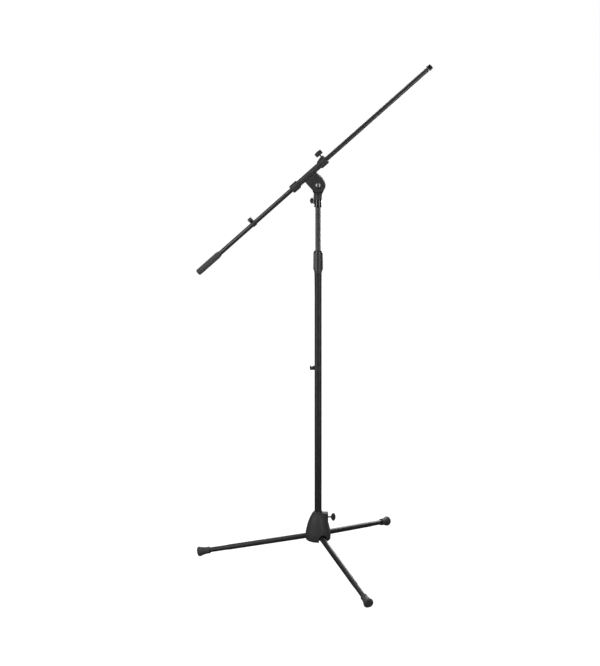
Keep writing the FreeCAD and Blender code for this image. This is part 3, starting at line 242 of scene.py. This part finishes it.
def plated_steel(name, dark, light, rough_low, rough_high):
    """Plated steel: fine turning marks, a cloudy film and a few pits."""
    nodes = Nodes(name)
    marks = nodes.noise(1.0, 5.0, 0.7, nodes.stretched((60.0, 60.0, 900.0)))
    film = nodes.noise(120.0, 5.0, 0.65)
    nodes.colour(nodes.blend(nodes.spread(film, 0.3, 0.7), dark, light))
    nodes.roughness(nodes.spread(marks, 0.25, 0.75, rough_low, rough_high))
    nodes.bump(nodes.sum(marks, nodes.noise(2200.0, 3.0), 0.25), 0.00003, 0.5)
    nodes.set(Metallic=1.0)
    return nodes.material


SLOT_MATERIALS = {
    "tube_coat": coated_metal(
        "tube_coat", (0.0086, 0.0084, 0.0087), (0.0142, 0.0139, 0.0141), 0.42, 0.54, specular=0.2),
    # mast_coat: the same powder coat as tube_coat, a little glossier, with a lighter base colour as painted light,
    # because the mast and boom are lit brighter than the lower tube
    "mast_coat": coated_metal(
        "mast_coat", (0.0116, 0.0114, 0.0117), (0.0152, 0.015, 0.0151), 0.29, 0.35, specular=0.36),
    "hub_casting": coated_metal(
        "hub_casting", (0.0094, 0.0093, 0.0097), (0.0145, 0.0143, 0.0146), 0.62, 0.76, 700.0, 0.36),
    "socket_enamel": coated_metal(
        "socket_enamel", (0.008, 0.008, 0.0085), (0.012, 0.012, 0.012), 0.12, 0.2, 1800.0),
    "moulding": moulded_plastic(
        "moulding", (0.0076, 0.0076, 0.008), (0.0124, 0.0124, 0.0127), 0.48, 0.62),
    # clutch_plastic: the same moulded nylon, less rough, with a base colour about twice as light as painted
    # highlight for the light bands along its flutes
    "clutch_plastic": moulded_plastic(
        "clutch_plastic", (0.018, 0.018, 0.0185), (0.0235, 0.0233, 0.0235), 0.27, 0.33),
    "black_nylon": moulded_plastic(
        "black_nylon", (0.01, 0.01, 0.0105), (0.018, 0.018, 0.018), 0.34, 0.5),
    "foot_rubber": rubber("foot_rubber", (0.013, 0.013, 0.0135), (0.026, 0.0255, 0.0255)),
    "grip_rubber": rubber("grip_rubber", (0.018, 0.018, 0.018), (0.03, 0.03, 0.03), 1500.0),
    "zinc_steel": plated_steel("zinc_steel", (0.36, 0.36, 0.37), (0.5, 0.5, 0.5), 0.22, 0.42),
    "black_steel": plated_steel("black_steel", (0.03, 0.03, 0.031), (0.06, 0.06, 0.062), 0.3, 0.46),
    "bright_plate": plated_steel("bright_plate", (0.12, 0.119, 0.117), (0.19, 0.188, 0.184), 0.36, 0.52),
}
NODE_SLOTS = {part["node"]: part["material_slot"] for part in frame["record"]["subparts"]}


# ---------------------------------------------------------------- mesh helpers

ON_AXIS = 1e-6
NEARLY_STRAIGHT = math.radians(176)
MOST_TRIM = 0.48


def added(name, data):
    """A new object, linked to the scene."""
    item = bpy.data.objects.new(name, data)
    bpy.context.scene.collection.objects.link(item)
    return item


def as_mesh(name, made):
    """A bmesh turned into a mesh, and freed."""
    mesh = bpy.data.meshes.new(name)
    made.to_mesh(mesh)
    made.free()
    return mesh


def finish_piece(name, mesh, node, sharp=32.0, replace=True):
    """Make a mesh an object with a CAD node's body, slot and material, which replaces that node."""
    piece = added(name, mesh)
    shade(mesh, sharp)
    slot = NODE_SLOTS[node]
    mesh.materials.clear()
    mesh.materials.append(SLOT_MATERIALS[slot])
    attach(piece, body_of(node))
    if replace:
        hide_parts(node)


def body_of(node):
    bodies = frame["record"]["behaviour"]["bodies"]
    return next(body for body, members in bodies.items() if node in members)


def shade(mesh, sharp):
    """Smooth shading, with sharp edges above an angle."""
    mesh.polygons.foreach_set("use_smooth", [True] * len(mesh.polygons))
    mesh.set_sharp_from_angle(angle=math.radians(sharp))
    mesh.update()


def softened(outline, radius, steps=3):
    """Round a closed outline's corners by a radius, or by a corner's own; one on the axis stays sharp."""
    rounded = []
    count = len(outline)
    for index, corner in enumerate(outline):
        here = Vector(corner[:2])
        own = corner[2] if len(corner) > 2 else radius
        if own <= 0 or abs(here.x) < ON_AXIS:
            rounded.append(tuple(here))
            continue
        before, after = Vector(outline[index - 1][:2]), Vector(outline[(index + 1) % count][:2])
        back, on = before - here, after - here
        bend = back.angle(on)
        if bend > NEARLY_STRAIGHT:
            rounded.append(tuple(here))
            continue
        trim = min(own / math.tan(bend / 2), back.length * MOST_TRIM, on.length * MOST_TRIM)
        start, end = here + back.normalized() * trim, here + on.normalized() * trim
        for step in range(steps + 1):
            share = step / steps
            first, second = start.lerp(here, share), here.lerp(end, share)
            rounded.append(tuple(first.lerp(second, share)))
    return rounded


def sampled(outline, longest):
    """Divide an outline's long runs so that no run is longer than this."""
    dense = []
    for index, corner in enumerate(outline):
        here, after = Vector(corner[:2]), Vector(outline[(index + 1) % len(outline)][:2])
        runs = max(1, math.ceil((after - here).length / longest))
        dense.extend(tuple(here.lerp(after, run / runs)) for run in range(runs))
    return dense


def turned_mesh(name, outline, where, segments=96, shape=None, tweak=None):
    """Turn a closed (radius, height) outline, in millimetres, about a place's Z axis.

    shape(angle, radius, height) gives a point's own radius; tweak(point) gives its own final place.
    """
    made = bmesh.new()
    rings = []
    for radius, height in outline:
        if radius < ON_AXIS:
            rings.append([made.verts.new(where @ Vector((0, 0, height * MM)))])
            continue
        ring = []
        for step in range(segments):
            angle = 2 * math.pi * step / segments
            far = shape(angle, radius, height) if shape else radius
            point = where @ Vector((math.cos(angle) * far * MM, math.sin(angle) * far * MM, height * MM))
            ring.append(made.verts.new(tweak(point) if tweak else point))
        rings.append(ring)
    for index, ring in enumerate(rings):
        after = rings[(index + 1) % len(rings)]
        if len(ring) == 1 and len(after) == 1:
            continue
        for step in range(segments):
            turn = (step + 1) % segments
            corners = [ring[step % len(ring)], ring[turn % len(ring)],
                       after[turn % len(after)], after[step % len(after)]]
            unique = list(dict.fromkeys(corners))
            if len(unique) > 2:
                made.faces.new(unique)
    bmesh.ops.recalc_face_normals(made, faces=made.faces)
    return as_mesh(name, made)


def turned(node, outline, where, edge=0.3, segments=96, shape=None, longest=None, sharp=32.0, tweak=None):
    """A turned piece that replaces a CAD node."""
    soft = softened(outline, edge)
    if longest:
        soft = sampled(soft, longest)
    mesh = turned_mesh(node + "_shape", soft, where, segments, shape, tweak)
    finish_piece(node + "_piece", mesh, node, sharp)


def arc(start, end, radius, steps=10):
    """Points of an arc from start to end, both included, bulging to the right for a positive radius."""
    start, end = Vector(start), Vector(end)
    chord = end - start
    left = Vector((-chord.y, chord.x)).normalized()
    centre = (start + end) / 2 + left * math.copysign(
        math.sqrt(max(radius * radius - chord.length_squared / 4, 0.0)), radius)
    first = math.atan2(start.y - centre.y, start.x - centre.x)
    last = math.atan2(end.y - centre.y, end.x - centre.x)
    turn = (last - first + math.pi) % (2 * math.pi) - math.pi
    size = abs(radius)
    return [(centre.x + size * math.cos(first + turn * step / steps),
             centre.y + size * math.sin(first + turn * step / steps)) for step in range(steps + 1)]


def thread(pitch, depth, inside_of, low, high):
    """A screw thread as a shape function, fading out at both ends of its run."""
    def shape(angle, radius, height):
        if radius < inside_of:
            return radius
        turn = (height / pitch - angle / (2 * math.pi)) % 1.0
        ridge = abs(turn * 2 - 1)
        fade = min(1.0, max(0.0, (height - low) / pitch), max(0.0, (high - height) / pitch))
        return radius - depth * (1 - ridge) * fade
    return shape


def moulded(node, voxel, rounds):
    """Round a CAD node's edges as a mould or casting does: remesh it finely, then relax it."""
    item = frame["nodes"][node]
    remesh = item.modifiers.new("even_mesh", "REMESH")
    remesh.mode = "VOXEL"
    remesh.voxel_size = voxel * MM
    remesh.use_smooth_shade = True
    relax = item.modifiers.new("soft_edges", "SMOOTH")
    relax.factor = 0.5
    relax.iterations = rounds


# ---------------------------------------------------------------- tubes and turned parts

# Millimetres, as in the CAD. Bores and radii are from their own axis, heights from the floor, and places
# on the boom from the point of its axis that is nearest to the pivot.
COLUMN_WALL = 1.5
MAST_WALL = 1.0
LEG_WALL = 1.6
BOOM_WALL = 1.2
LEG_SWAGE = (275.0, 279.0, 7.35)  # where it starts and ends along the leg, and its radius

COLUMN_SEAT = 10.52
MAST_BORE = 7.83
BUSH_BORE = 10.58
BUSH_RADIUS = 12.28
FOOT_BORE = 7.37
BOOM_GRIP_BORE = 6.37
STUD_BORE = 4.68

FERRULE_SKIRT = 890.5
COLUMN_TOP = 905.0
FERRULE_NOSE = 11.2

FLUTES = 6
FLUTE_TURN = math.radians(49.5)
FLUTE_CENTRE = 16.9
FLUTE_RADIUS = 4.2
FLUTE_BLEND = 0.25

BOOM_END = 441.0
INSERT_SHOULDER = 442.2
INSERT_PLUG = 5.1
INSERT_STUD = 4.6
STUD_PITCH = 1.0
ADAPTER_PITCH = 25.4 / 27
WING_PITCH = 0.8
LONG_CUT = 40.0  # longer than any slot it cuts


def wave(phase):
    """A smooth wave from 0 to 1 and back, once in each turn of its phase."""
    return 0.5 + 0.5 * math.cos(phase)


def tube(node, where, wall, segments=96, swage=None):
    """A tube with softened ends; swage is (start, end, radius) of a drawn-in end."""
    low, high, radius = reach(node, where)
    inner = radius - wall
    if swage:
        start, end, small = swage
        outer = [(radius, low), (radius, start), (small, end), (small, high)]
        outline = outer + [(small - wall, high), (small - wall, end), (inner, start), (inner, low)]
    else:
        outline = [(radius, low), (radius, high), (inner, high), (inner, low)]
    turned(node, outline, where, edge=0.35, segments=segments)


def ring(node, where, bore, radius, edge, segments=96):
    """A plain ring or short sleeve, as long as its CAD node."""
    low, high, _ = reach(node, where)
    section = [(bore, low), (radius, low), (radius, high), (bore, high)]
    turned(node, section, where, edge=edge, segments=segments)


def column_pieces():
    tube("lower_tube", UPRIGHT, COLUMN_WALL)
    tube("mast_tube", UPRIGHT, MAST_WALL)
    low, high, radius = reach("tube_end_plug", UPRIGHT)
    seat, spigot = low + 4.8, 8.9
    turned("tube_end_plug", [
        (0, low), (radius - 3.5, low + 0.2), (radius - 1.2, low + 1.2), (radius, low + 2.4), (radius, seat),
        (spigot, seat), (spigot, high - 1.6), (spigot - 1.5, high), (0, high),
    ], UPRIGHT, edge=0.5)
    ring("hub_bush", UPRIGHT, BUSH_BORE, BUSH_RADIUS, edge=0.4)


def ferrule():
    """The clutch's threaded ferrule, with fine ribs round its skirt."""
    low, high, radius = reach("clutch_ferrule", UPRIGHT)
    ribs, rib_depth = 40, 0.28

    def ribbed(angle, far, height):
        if far < FERRULE_NOSE + 0.1 or height > FERRULE_SKIRT - 0.9 or height < low + 1.0:
            return far
        return far - rib_depth * wave(angle * ribs)

    turned("clutch_ferrule", [
        (COLUMN_SEAT, low), (radius, low), (radius, FERRULE_SKIRT), (FERRULE_NOSE, FERRULE_SKIRT),
        (FERRULE_NOSE, high), (MAST_BORE, high), (MAST_BORE, COLUMN_TOP), (COLUMN_SEAT, COLUMN_TOP),
    ], UPRIGHT, edge=0.45, segments=240, shape=ribbed, longest=1.2)


def clutch():
    """The twist grip: soft flutes that run out over its shoulder."""
    low, high, _ = reach("clutch_grip", UPRIGHT)
    nose_bore, collet_bore, mast_hole = 11.28, 10.7, 8.05
    nose_end, cone_start, cone_end = 916.3, 922.3, 930.3

    def fluted(angle, radius, height):
        if radius < nose_bore + 0.07:
            return radius
        step = 2 * math.pi / FLUTES
        off = (angle - FLUTE_TURN + step / 2) % step - step / 2
        across = FLUTE_CENTRE * math.sin(off)
        if abs(across) >= FLUTE_RADIUS:
            return radius
        floor = FLUTE_CENTRE * math.cos(off) - math.sqrt(FLUTE_RADIUS ** 2 - across ** 2)
        soft = max(FLUTE_BLEND - abs(radius - floor), 0.0) / FLUTE_BLEND
        return min(radius, floor) - soft * soft * FLUTE_BLEND * 0.25

    waist, shoulder = 13.3, 939.5
    turned("clutch_grip", [
        (nose_bore, low), (13.2, low), *arc((13.25, low + 0.2), (13.8, low + 2.9), 5.0, 5)[1:],
        (waist, shoulder), *arc((waist, shoulder + 0.1), (9.0, high - 0.1), 12.0, 14)[1:], (8.7, high),
        (mast_hole, high), (mast_hole, cone_end), (9.3, cone_end), (collet_bore, cone_start),
        (collet_bore, nose_end), (nose_bore, nose_end),
    ], UPRIGHT, edge=0.35, segments=288, shape=fluted, longest=1.4, sharp=40.0)


def legs():
    for name, where in LEG_PLACES.items():
        fold = JOINTS[f"leg_{name}_fold"]
        tube(f"leg_tube_{name}", where, LEG_WALL, segments=80, swage=LEG_SWAGE)
        pin(f"leg_pin_{name}", place(Vector(fold["pos_m"]), Vector(fold["axis"]), Z))
        foot(f"rubber_foot_{name}", where)
        moulded(f"leg_knuckle_{name}", voxel=0.45, rounds=3)


def pin(node, where):
    """A plain rivet pin with domed, slightly dished ends."""
    low, high, radius = reach(node, where)
    turned(node, [
        (0, low + 0.4), (radius * 0.45, low + 0.15), (radius * 0.8, low), (radius, low + 0.7),
        (radius, high - 0.7), (radius * 0.8, high), (radius * 0.45, high - 0.15), (0, high - 0.4),
    ], where, edge=0.25, segments=48)


def foot(node, where):
    """A rubber boot: a bead, a waist, a flare with fine grip rings, and the flat it stands on."""
    low, high, radius = reach(node, where)
    bead, bead_end, flare_end = 10.3, low + 4.6, low + 31.4
    ring_depth, ring_pitch = 0.12, 2.6
    tube_end = high - 8.9
    flare = arc((10.0, bead_end + 2.6), (radius, flare_end), -90.0, 14)
    outline = [
        (FOOT_BORE, low), (bead, low, 1.1), (bead, bead_end, 0.9), (10.05, bead_end + 0.4, 0.4), *flare,
        (radius, flare_end + 0.8, 1.0), (13.6, flare_end + 4.2, 2.0), (11.2, high - 0.3, 1.2),
        (8.8, high, 0.5), (7.6, high, 0.3), (7.2, high - 0.7, 0.4), (0, high - 0.7),
        (0, tube_end), (FOOT_BORE, tube_end),
    ]

    def grip(angle, far, height):
        if height < bead_end + 6 or far < 9.0 or height > flare_end - 1.0:
            return far
        return far - ring_depth * wave((height - bead_end) * 2 * math.pi / ring_pitch)

    def on_floor(point):
        return Vector((point.x, point.y, max(point.z, 0.0)))

    turned(node, outline, where, edge=0.4, shape=grip, longest=0.65, sharp=40.0, tweak=on_floor)


# ---------------------------------------------------------------- head, pivot and boom


def socket():
    """The head's metal socket, with a bead round its foot."""
    low, high, radius = reach("swivel_socket", UPRIGHT)
    body = 10.2
    turned("swivel_socket", [
        (MAST_BORE, low), (radius - 0.6, low), (radius, low + 0.8, 0.6), (radius, low + 3.4, 0.8),
        (body, low + 4.8, 0.8), (body, high), (MAST_BORE, high),
    ], UPRIGHT, edge=0.3)


def boom_turned():
    """The boom's tube, its ribbed rubber grip and its lock washer."""
    tube("boom_tube", BOOM_PLACE, BOOM_WALL, segments=80)
    low, high, radius = reach("boom_grip", BOOM_PLACE)
    ribs, rib_depth = 36, 0.14
    tube_end = low + 5.3

    def ribbed(angle, far, height):
        if far < 8.5 or height < low + 7 or height > high - 16:
            return far
        return far - rib_depth * wave(angle * ribs)

    turned("boom_grip", [
        (0, low), (radius - 3.0, low + 0.1, 0.4), (radius - 1.1, low + 0.7, 0.7), (radius, low + 2.4, 0.8),
        (radius, high - 7.8, 2.5), (7.5, high - 0.6, 0.4), (6.9, high, 0.3), (BOOM_GRIP_BORE, high, 0.1),
        (BOOM_GRIP_BORE, tube_end), (0, tube_end),
    ], BOOM_PLACE, edge=0.4, segments=216, shape=ribbed, longest=1.6, sharp=40.0)
    washer_radius = reach("lock_washer", BOOM_PLACE)[2]
    ring("lock_washer", BOOM_PLACE, STUD_BORE, washer_radius, edge=0.2, segments=120)


def adapter():
    """The boom's end: an insert whose stud carries the threaded adapter."""
    low, high, radius = reach("boom_end_insert", BOOM_PLACE)
    stud_thread = thread(STUD_PITCH, 0.35, INSERT_STUD - 0.1, INSERT_SHOULDER, high + 1)
    turned("boom_end_insert", [
        (0, low), (INSERT_PLUG, low), (INSERT_PLUG, BOOM_END), (radius, BOOM_END),
        (radius, INSERT_SHOULDER), (INSERT_STUD, INSERT_SHOULDER), (INSERT_STUD, high), (0, high),
    ], BOOM_PLACE, edge=0.3, segments=80, shape=stud_thread, longest=0.25, sharp=50.0)
    low, high, radius = reach("thread_adapter", BOOM_PLACE)
    chamfer = 1.0
    outline = [
        (STUD_BORE, low), (radius, low), (radius, high - chamfer), (radius - chamfer, high),
        (STUD_BORE, high),
    ]
    adapter_thread = thread(ADAPTER_PITCH, 0.5, 6.9, low + 0.6, high + 0.5)
    mesh = turned_mesh("thread_adapter_blank", sampled(outline, 0.118), BOOM_PLACE,
                       segments=120, shape=adapter_thread)
    slot = slab(2.0, LONG_CUT, 3.2, BOOM_PLACE @ Matrix.Translation((0, 0, high * MM)))
    finish_piece("thread_adapter_piece", carved(mesh, slot), "thread_adapter", sharp=50.0)


def slab(x_size, y_size, z_size, where):
    """A plain cutter, centred on a place, in millimetres."""
    made = bmesh.new()
    bmesh.ops.create_cube(made, size=1.0)
    bmesh.ops.scale(made, vec=(x_size * MM, y_size * MM, z_size * MM), verts=made.verts)
    made.transform(where)
    return as_mesh("cutter", made)


def carved(mesh, cutter):
    """The mesh with the cutter taken out of it."""
    block, tool = added("block", mesh), added("tool", cutter)
    step = block.modifiers.new("carve", "BOOLEAN")
    step.operation = "DIFFERENCE"
    step.solver = "EXACT"
    step.object = tool
    bpy.context.view_layer.update()
    graph = bpy.context.evaluated_depsgraph_get()
    result = bpy.data.meshes.new_from_object(block.evaluated_get(graph))
    for item in (block, tool):
        bpy.data.objects.remove(item)
    return result


def pivot_screw():
    """A domed slotted screw through the cradle's cheeks, with its nut on the far side."""
    low, high, radius = reach("pivot_screw", PIVOT_PLACE)
    shank, cheek_face = 4.0, 8.6
    dome = arc((radius, cheek_face + 1.1), (0.0, high), 11.4, 10)
    mesh = turned_mesh("pivot_screw_blank", [
        (0, low), (shank - 0.4, low), (shank, low + 0.6), (shank, cheek_face), (6.6, cheek_face),
        (radius, cheek_face + 0.3), *dome,
    ], PIVOT_PLACE)
    slot = slab(3.2, LONG_CUT, 4.0, PIVOT_PLACE @ Matrix.Translation((0, 0, 12.0 * MM)))
    finish_piece("pivot_screw_piece", carved(mesh, slot), "pivot_screw", sharp=28.0)


# A wing widens from root_half to half over its spread, runs straight for its side and ends in an arc of
# its crown's radius. WING_THICK is half of its thickness.
Wing = namedtuple("Wing", "root_half spread half side crown")
WIDE_WING = Wing(3.4, 5.0, 11.8, 4.6, 17.5)
KNOB = Wing(9.2, 1.6, 10.9, 9.8, 40.0)
SMALL_WING = Wing(6.4, 2.4, 8.4, 1.4, 9.0)
WING_THICK = 3.5
WING_EDGE = 1.9
EDGE_STEPS = 8
DISH_DEPTH = 0.45
FINGER_RIB = 0.24
CREST_SHARES = (0.85, 0.7, 0.5, 0.25, 0.0, -0.25, -0.5, -0.7, -0.85)
FACE_SHARES = (0.94, 0.88, 0.8, 0.7, 0.6, 0.5, 0.4, 0.3, 0.2, 0.1)
STUD_EASE = 0.2


def wing_outline(low, wing):
    """A wing's outline in its own plane, with each corner's own radius, in millimetres."""
    half, widest = wing.half, low + wing.spread
    shoulder = low + wing.spread + wing.side
    rise = math.sqrt(wing.crown ** 2 - half ** 2)
    crest = [(half * share, shoulder + math.sqrt(wing.crown ** 2 - (half * share) ** 2) - rise, 0)
             for share in CREST_SHARES]
    return [(-wing.root_half, low, 0.6), (wing.root_half, low, 0.6), (half, widest, 2.4),
            (half, shoulder, 2.6), *crest, (-half, shoulder, 2.6), (-half, widest, 2.4)]


def dish(x, wing):
    """How far a wing's face lies below its highest level: hollow in the middle, ribbed further out."""
    outward = abs(x) / wing.half
    ribbed = max(0.0, min(1.0, (outward - 0.4) * 6)) * max(0.0, min(1.0, (0.86 - outward) * 10))
    return DISH_DEPTH * (1 - outward) ** 2 + FINGER_RIB * ribbed * wave(x * math.pi)


def wing_rows(outline, wing):
    """Rows of (point, level) from the middle of a wing's face, over its round edge, to the other face."""
    count = len(outline)
    middle = sum(outline, Vector((0, 0))) / count
    normals = []
    for index in range(count):
        along = outline[(index + 1) % count] - outline[index - 1]
        normals.append(Vector((along.y, -along.x)).normalized())
    rows = []
    for step in range(EDGE_STEPS + 1):
        turn = math.pi / 2 * (1 - step / EDGE_STEPS)
        inset = WING_EDGE * (1 - math.cos(turn))
        level = WING_THICK - WING_EDGE + WING_EDGE * math.sin(turn)
        rows.append([(point - normal * inset, level) for point, normal in zip(outline, normals)])
    face = rows[0]
    for share in FACE_SHARES:
        inner = [middle + (point - middle) * share for point, _ in face]
        fade = min(1.0, (1 - share) * 8)
        rows.insert(0, [(point, WING_THICK - dish(point.x, wing) * fade) for point in inner])
    return rows + [[(point, -level) for point, level in row] for row in reversed(rows)]


def wing_head(node, where, wing):
    """A moulded wing: rounded all round, a little dished, with finger ribs, on a neck round its stud."""
    low = reach(node, where)[0]
    corners = softened(wing_outline(low, wing), 1.0, steps=6)
    outline = [Vector(point) for point in sampled(corners, 0.45)]
    count = len(outline)
    made = bmesh.new()
    loops = [[made.verts.new(where @ Vector((point.x * MM, level * MM, point.y * MM)))
              for point, level in row] for row in wing_rows(outline, wing)]
    for first, second in zip(loops, loops[1:]):
        for index in range(count):
            turn = (index + 1) % count
            made.faces.new((first[index], first[turn], second[turn], second[index]))
    made.faces.new(list(reversed(loops[0])))
    made.faces.new(loops[-1])
    bmesh.ops.recalc_face_normals(made, faces=made.faces)
    finish_piece(node + "_piece", as_mesh(node + "_shape", made), node, sharp=60.0)
    bore, neck, top = 2.52, 4.2, low + wing.spread
    section = softened([(bore, low), (neck, low), (neck, top), (bore, top)], 0.4)
    mesh = turned_mesh(node + "_neck_shape", section, where, segments=48)
    finish_piece(node + "_neck", mesh, node, sharp=40.0, replace=False)


def wing_screws():
    """The three hand screws: a threaded stud, a little thinner than its hole, and a wing."""
    for name, where, wing in (
        ("hub_wing", HUB_SCREW_PLACE, WIDE_WING),
        ("head_wing", HEAD_SCREW_PLACE, SMALL_WING),
        ("boom_wing", BOOM_SCREW_PLACE, KNOB),
    ):
        low, high, radius = reach(f"{name}_stud", where)
        radius -= STUD_EASE
        stud_thread = thread(WING_PITCH, 0.32, radius - 0.2, low + 1.0, high)
        turned(f"{name}_stud", [
            (0, low), (radius - 0.7, low), (radius, low + 0.8), (radius, high), (0, high),
        ], where, edge=0.15, segments=48, shape=stud_thread, longest=0.16, sharp=50.0)
        wing_head(f"{name}_head", where, wing)


def plain_nodes():
    """Every CAD node gets its finish; the moulded, cast and pressed ones get their rounded edges."""
    for node, item in frame["nodes"].items():
        item.data.materials.clear()
        item.data.materials.append(SLOT_MATERIALS[NODE_SLOTS[node]])
        shade(item.data, 30.0)
    moulded("hub_shell", voxel=0.65, rounds=3)
    moulded("boom_cradle", voxel=0.45, rounds=3)
    moulded("swivel_neck", voxel=0.4, rounds=3)
    for node in ("column_cable_clip", "boom_cable_clip"):
        moulded(node, voxel=0.32, rounds=4)
    for node in ("clamp_plate", "pivot_nut"):
        bevel = frame["nodes"][node].modifiers.new("worn_edges", "BEVEL")
        bevel.width = 0.3 * MM
        bevel.segments = 2
        bevel.limit_method = "ANGLE"


# ---------------------------------------------------------------- studio

# Metres, degrees, and the camera's own millimetres.
CAMERA_DISTANCE = 5.0
CAMERA_HEIGHT = 2.1285
CAMERA_TILT = 15.90
CAMERA_LENS = 98.04
CAMERA_SHIFT = -0.02718
SENSOR_WIDTH = 36.0

FLOOR_RADIUS = 60.0
FLOOR_DROP = 0.0004
FLOOR_DARK = (0.085, 0.085, 0.085)
FLOOR_LIGHT = (0.1, 0.1, 0.1)
FLOOR_REFLECTED = (0.05, 0.05, 0.05)
FLOOR_GLOW = 0.985

WHITE = (1.0, 1.0, 1.0, 1.0)
WALL_COLOUR = (1.0, 0.99, 0.975, 1.0)
WALL_LOW = 0.07
WALL_HIGH = 0.12
WALL_TOP = 0.9
SKY_SEEN = 1.05

SoftBox = namedtuple("SoftBox", "position target width height watts")
SOFT_BOXES = {
    "left_box": SoftBox((-1.12, -0.8, 1.05), (0, 0, 1.05), 0.42, 2.08, 30.0),
    "right_box": SoftBox((0.97, -0.97, 1.05), (0, 0, 1.05), 0.38, 2.08, 25.0),
    "top_box": SoftBox((-0.6, 0.8, 3.8), (0, 0, 0.7), 2.6, 1.8, 90.0),
    "back_box": SoftBox((0.9, 3.0, 0.95), (0, 0, 0.2), 3.0, 1.5, 150.0),
}


def camera():
    """The photo's view: a long lens, in front of the stand and above its head, tilted down."""
    data = bpy.data.cameras.new("camera")
    data.lens = CAMERA_LENS
    data.sensor_width = SENSOR_WIDTH
    data.shift_x = CAMERA_SHIFT
    item = added("camera", data)
    item.location = (0.0, -CAMERA_DISTANCE, CAMERA_HEIGHT)
    item.rotation_euler = (math.radians(90 - CAMERA_TILT), 0, 0)
    bpy.context.scene.camera = item


def seen_directly(tree):
    """1 where the camera sees a surface itself, 0 where it is reflected or gives light."""
    return tree.nodes.new("ShaderNodeLightPath").outputs["Is Camera Ray"]


def floor():
    """A wide floor that looks white to the camera, but that the stand reflects only dimly."""
    made = bmesh.new()
    bmesh.ops.create_circle(made, cap_ends=True, radius=FLOOR_RADIUS, segments=128)
    item = added("floor", as_mesh("floor", made))
    item.location.z = -FLOOR_DROP
    nodes = Nodes("pale_floor")
    pale = nodes.blend(nodes.noise(3.0, 4.0), FLOOR_DARK, FLOOR_LIGHT)
    nodes.colour(nodes.blend(seen_directly(nodes.tree), FLOOR_REFLECTED, pale))
    nodes.link(nodes.spread(seen_directly(nodes.tree), 0.0, 1.0, 0.0, FLOOR_GLOW),
               nodes.shader.inputs["Emission Strength"])
    nodes.set(Roughness=0.9, Specular_IOR_Level=0.1, Emission_Color=WHITE)
    item.data.materials.append(nodes.material)


def room():
    """White walls and ceiling, which the stand reflects only dimly."""
    world = bpy.data.worlds.new("studio")
    world.use_nodes = True
    tree = world.node_tree
    seen = tree.nodes["Background"]
    seen.inputs["Color"].default_value = WHITE
    seen.inputs["Strength"].default_value = SKY_SEEN
    walls = tree.nodes.new("ShaderNodeBackground")
    walls.inputs["Color"].default_value = WALL_COLOUR
    split = tree.nodes.new("ShaderNodeSeparateXYZ")
    where = tree.nodes.new("ShaderNodeTexCoord")
    rise = tree.nodes.new("ShaderNodeMapRange")
    for limit, number in zip(RANGE_SOCKETS, (0.0, WALL_TOP, WALL_LOW, WALL_HIGH)):
        rise.inputs[limit].default_value = number
    tree.links.new(where.outputs["Generated"], split.inputs["Vector"])
    tree.links.new(split.outputs["Z"], rise.inputs["Value"])
    tree.links.new(rise.outputs["Result"], walls.inputs["Strength"])
    either = tree.nodes.new("ShaderNodeMixShader")
    tree.links.new(seen_directly(tree), either.inputs["Fac"])
    tree.links.new(walls.outputs["Background"], either.inputs[1])
    tree.links.new(seen.outputs["Background"], either.inputs[2])
    tree.links.new(either.outputs["Shader"], tree.nodes["World Output"].inputs["Surface"])
    bpy.context.scene.world = world
    bpy.context.scene.view_settings.view_transform = "Standard"


def soft_boxes():
    """Soft lights on either side of the stand, above it and behind it."""
    for name, box in SOFT_BOXES.items():
        data = bpy.data.lights.new(name, "AREA")
        data.shape = "RECTANGLE"
        data.size = box.width
        data.size_y = box.height
        data.energy = box.watts
        item = added(name, data)
        item.location = box.position
        aim = Vector(box.target) - Vector(box.position)
        item.rotation_euler = aim.to_track_quat("-Z", "Y").to_euler()


plain_nodes()
column_pieces()
ferrule()
clutch()
legs()
socket()
boom_turned()
adapter()
pivot_screw()
wing_screws()
camera()
floor()
room()
soft_boxes()
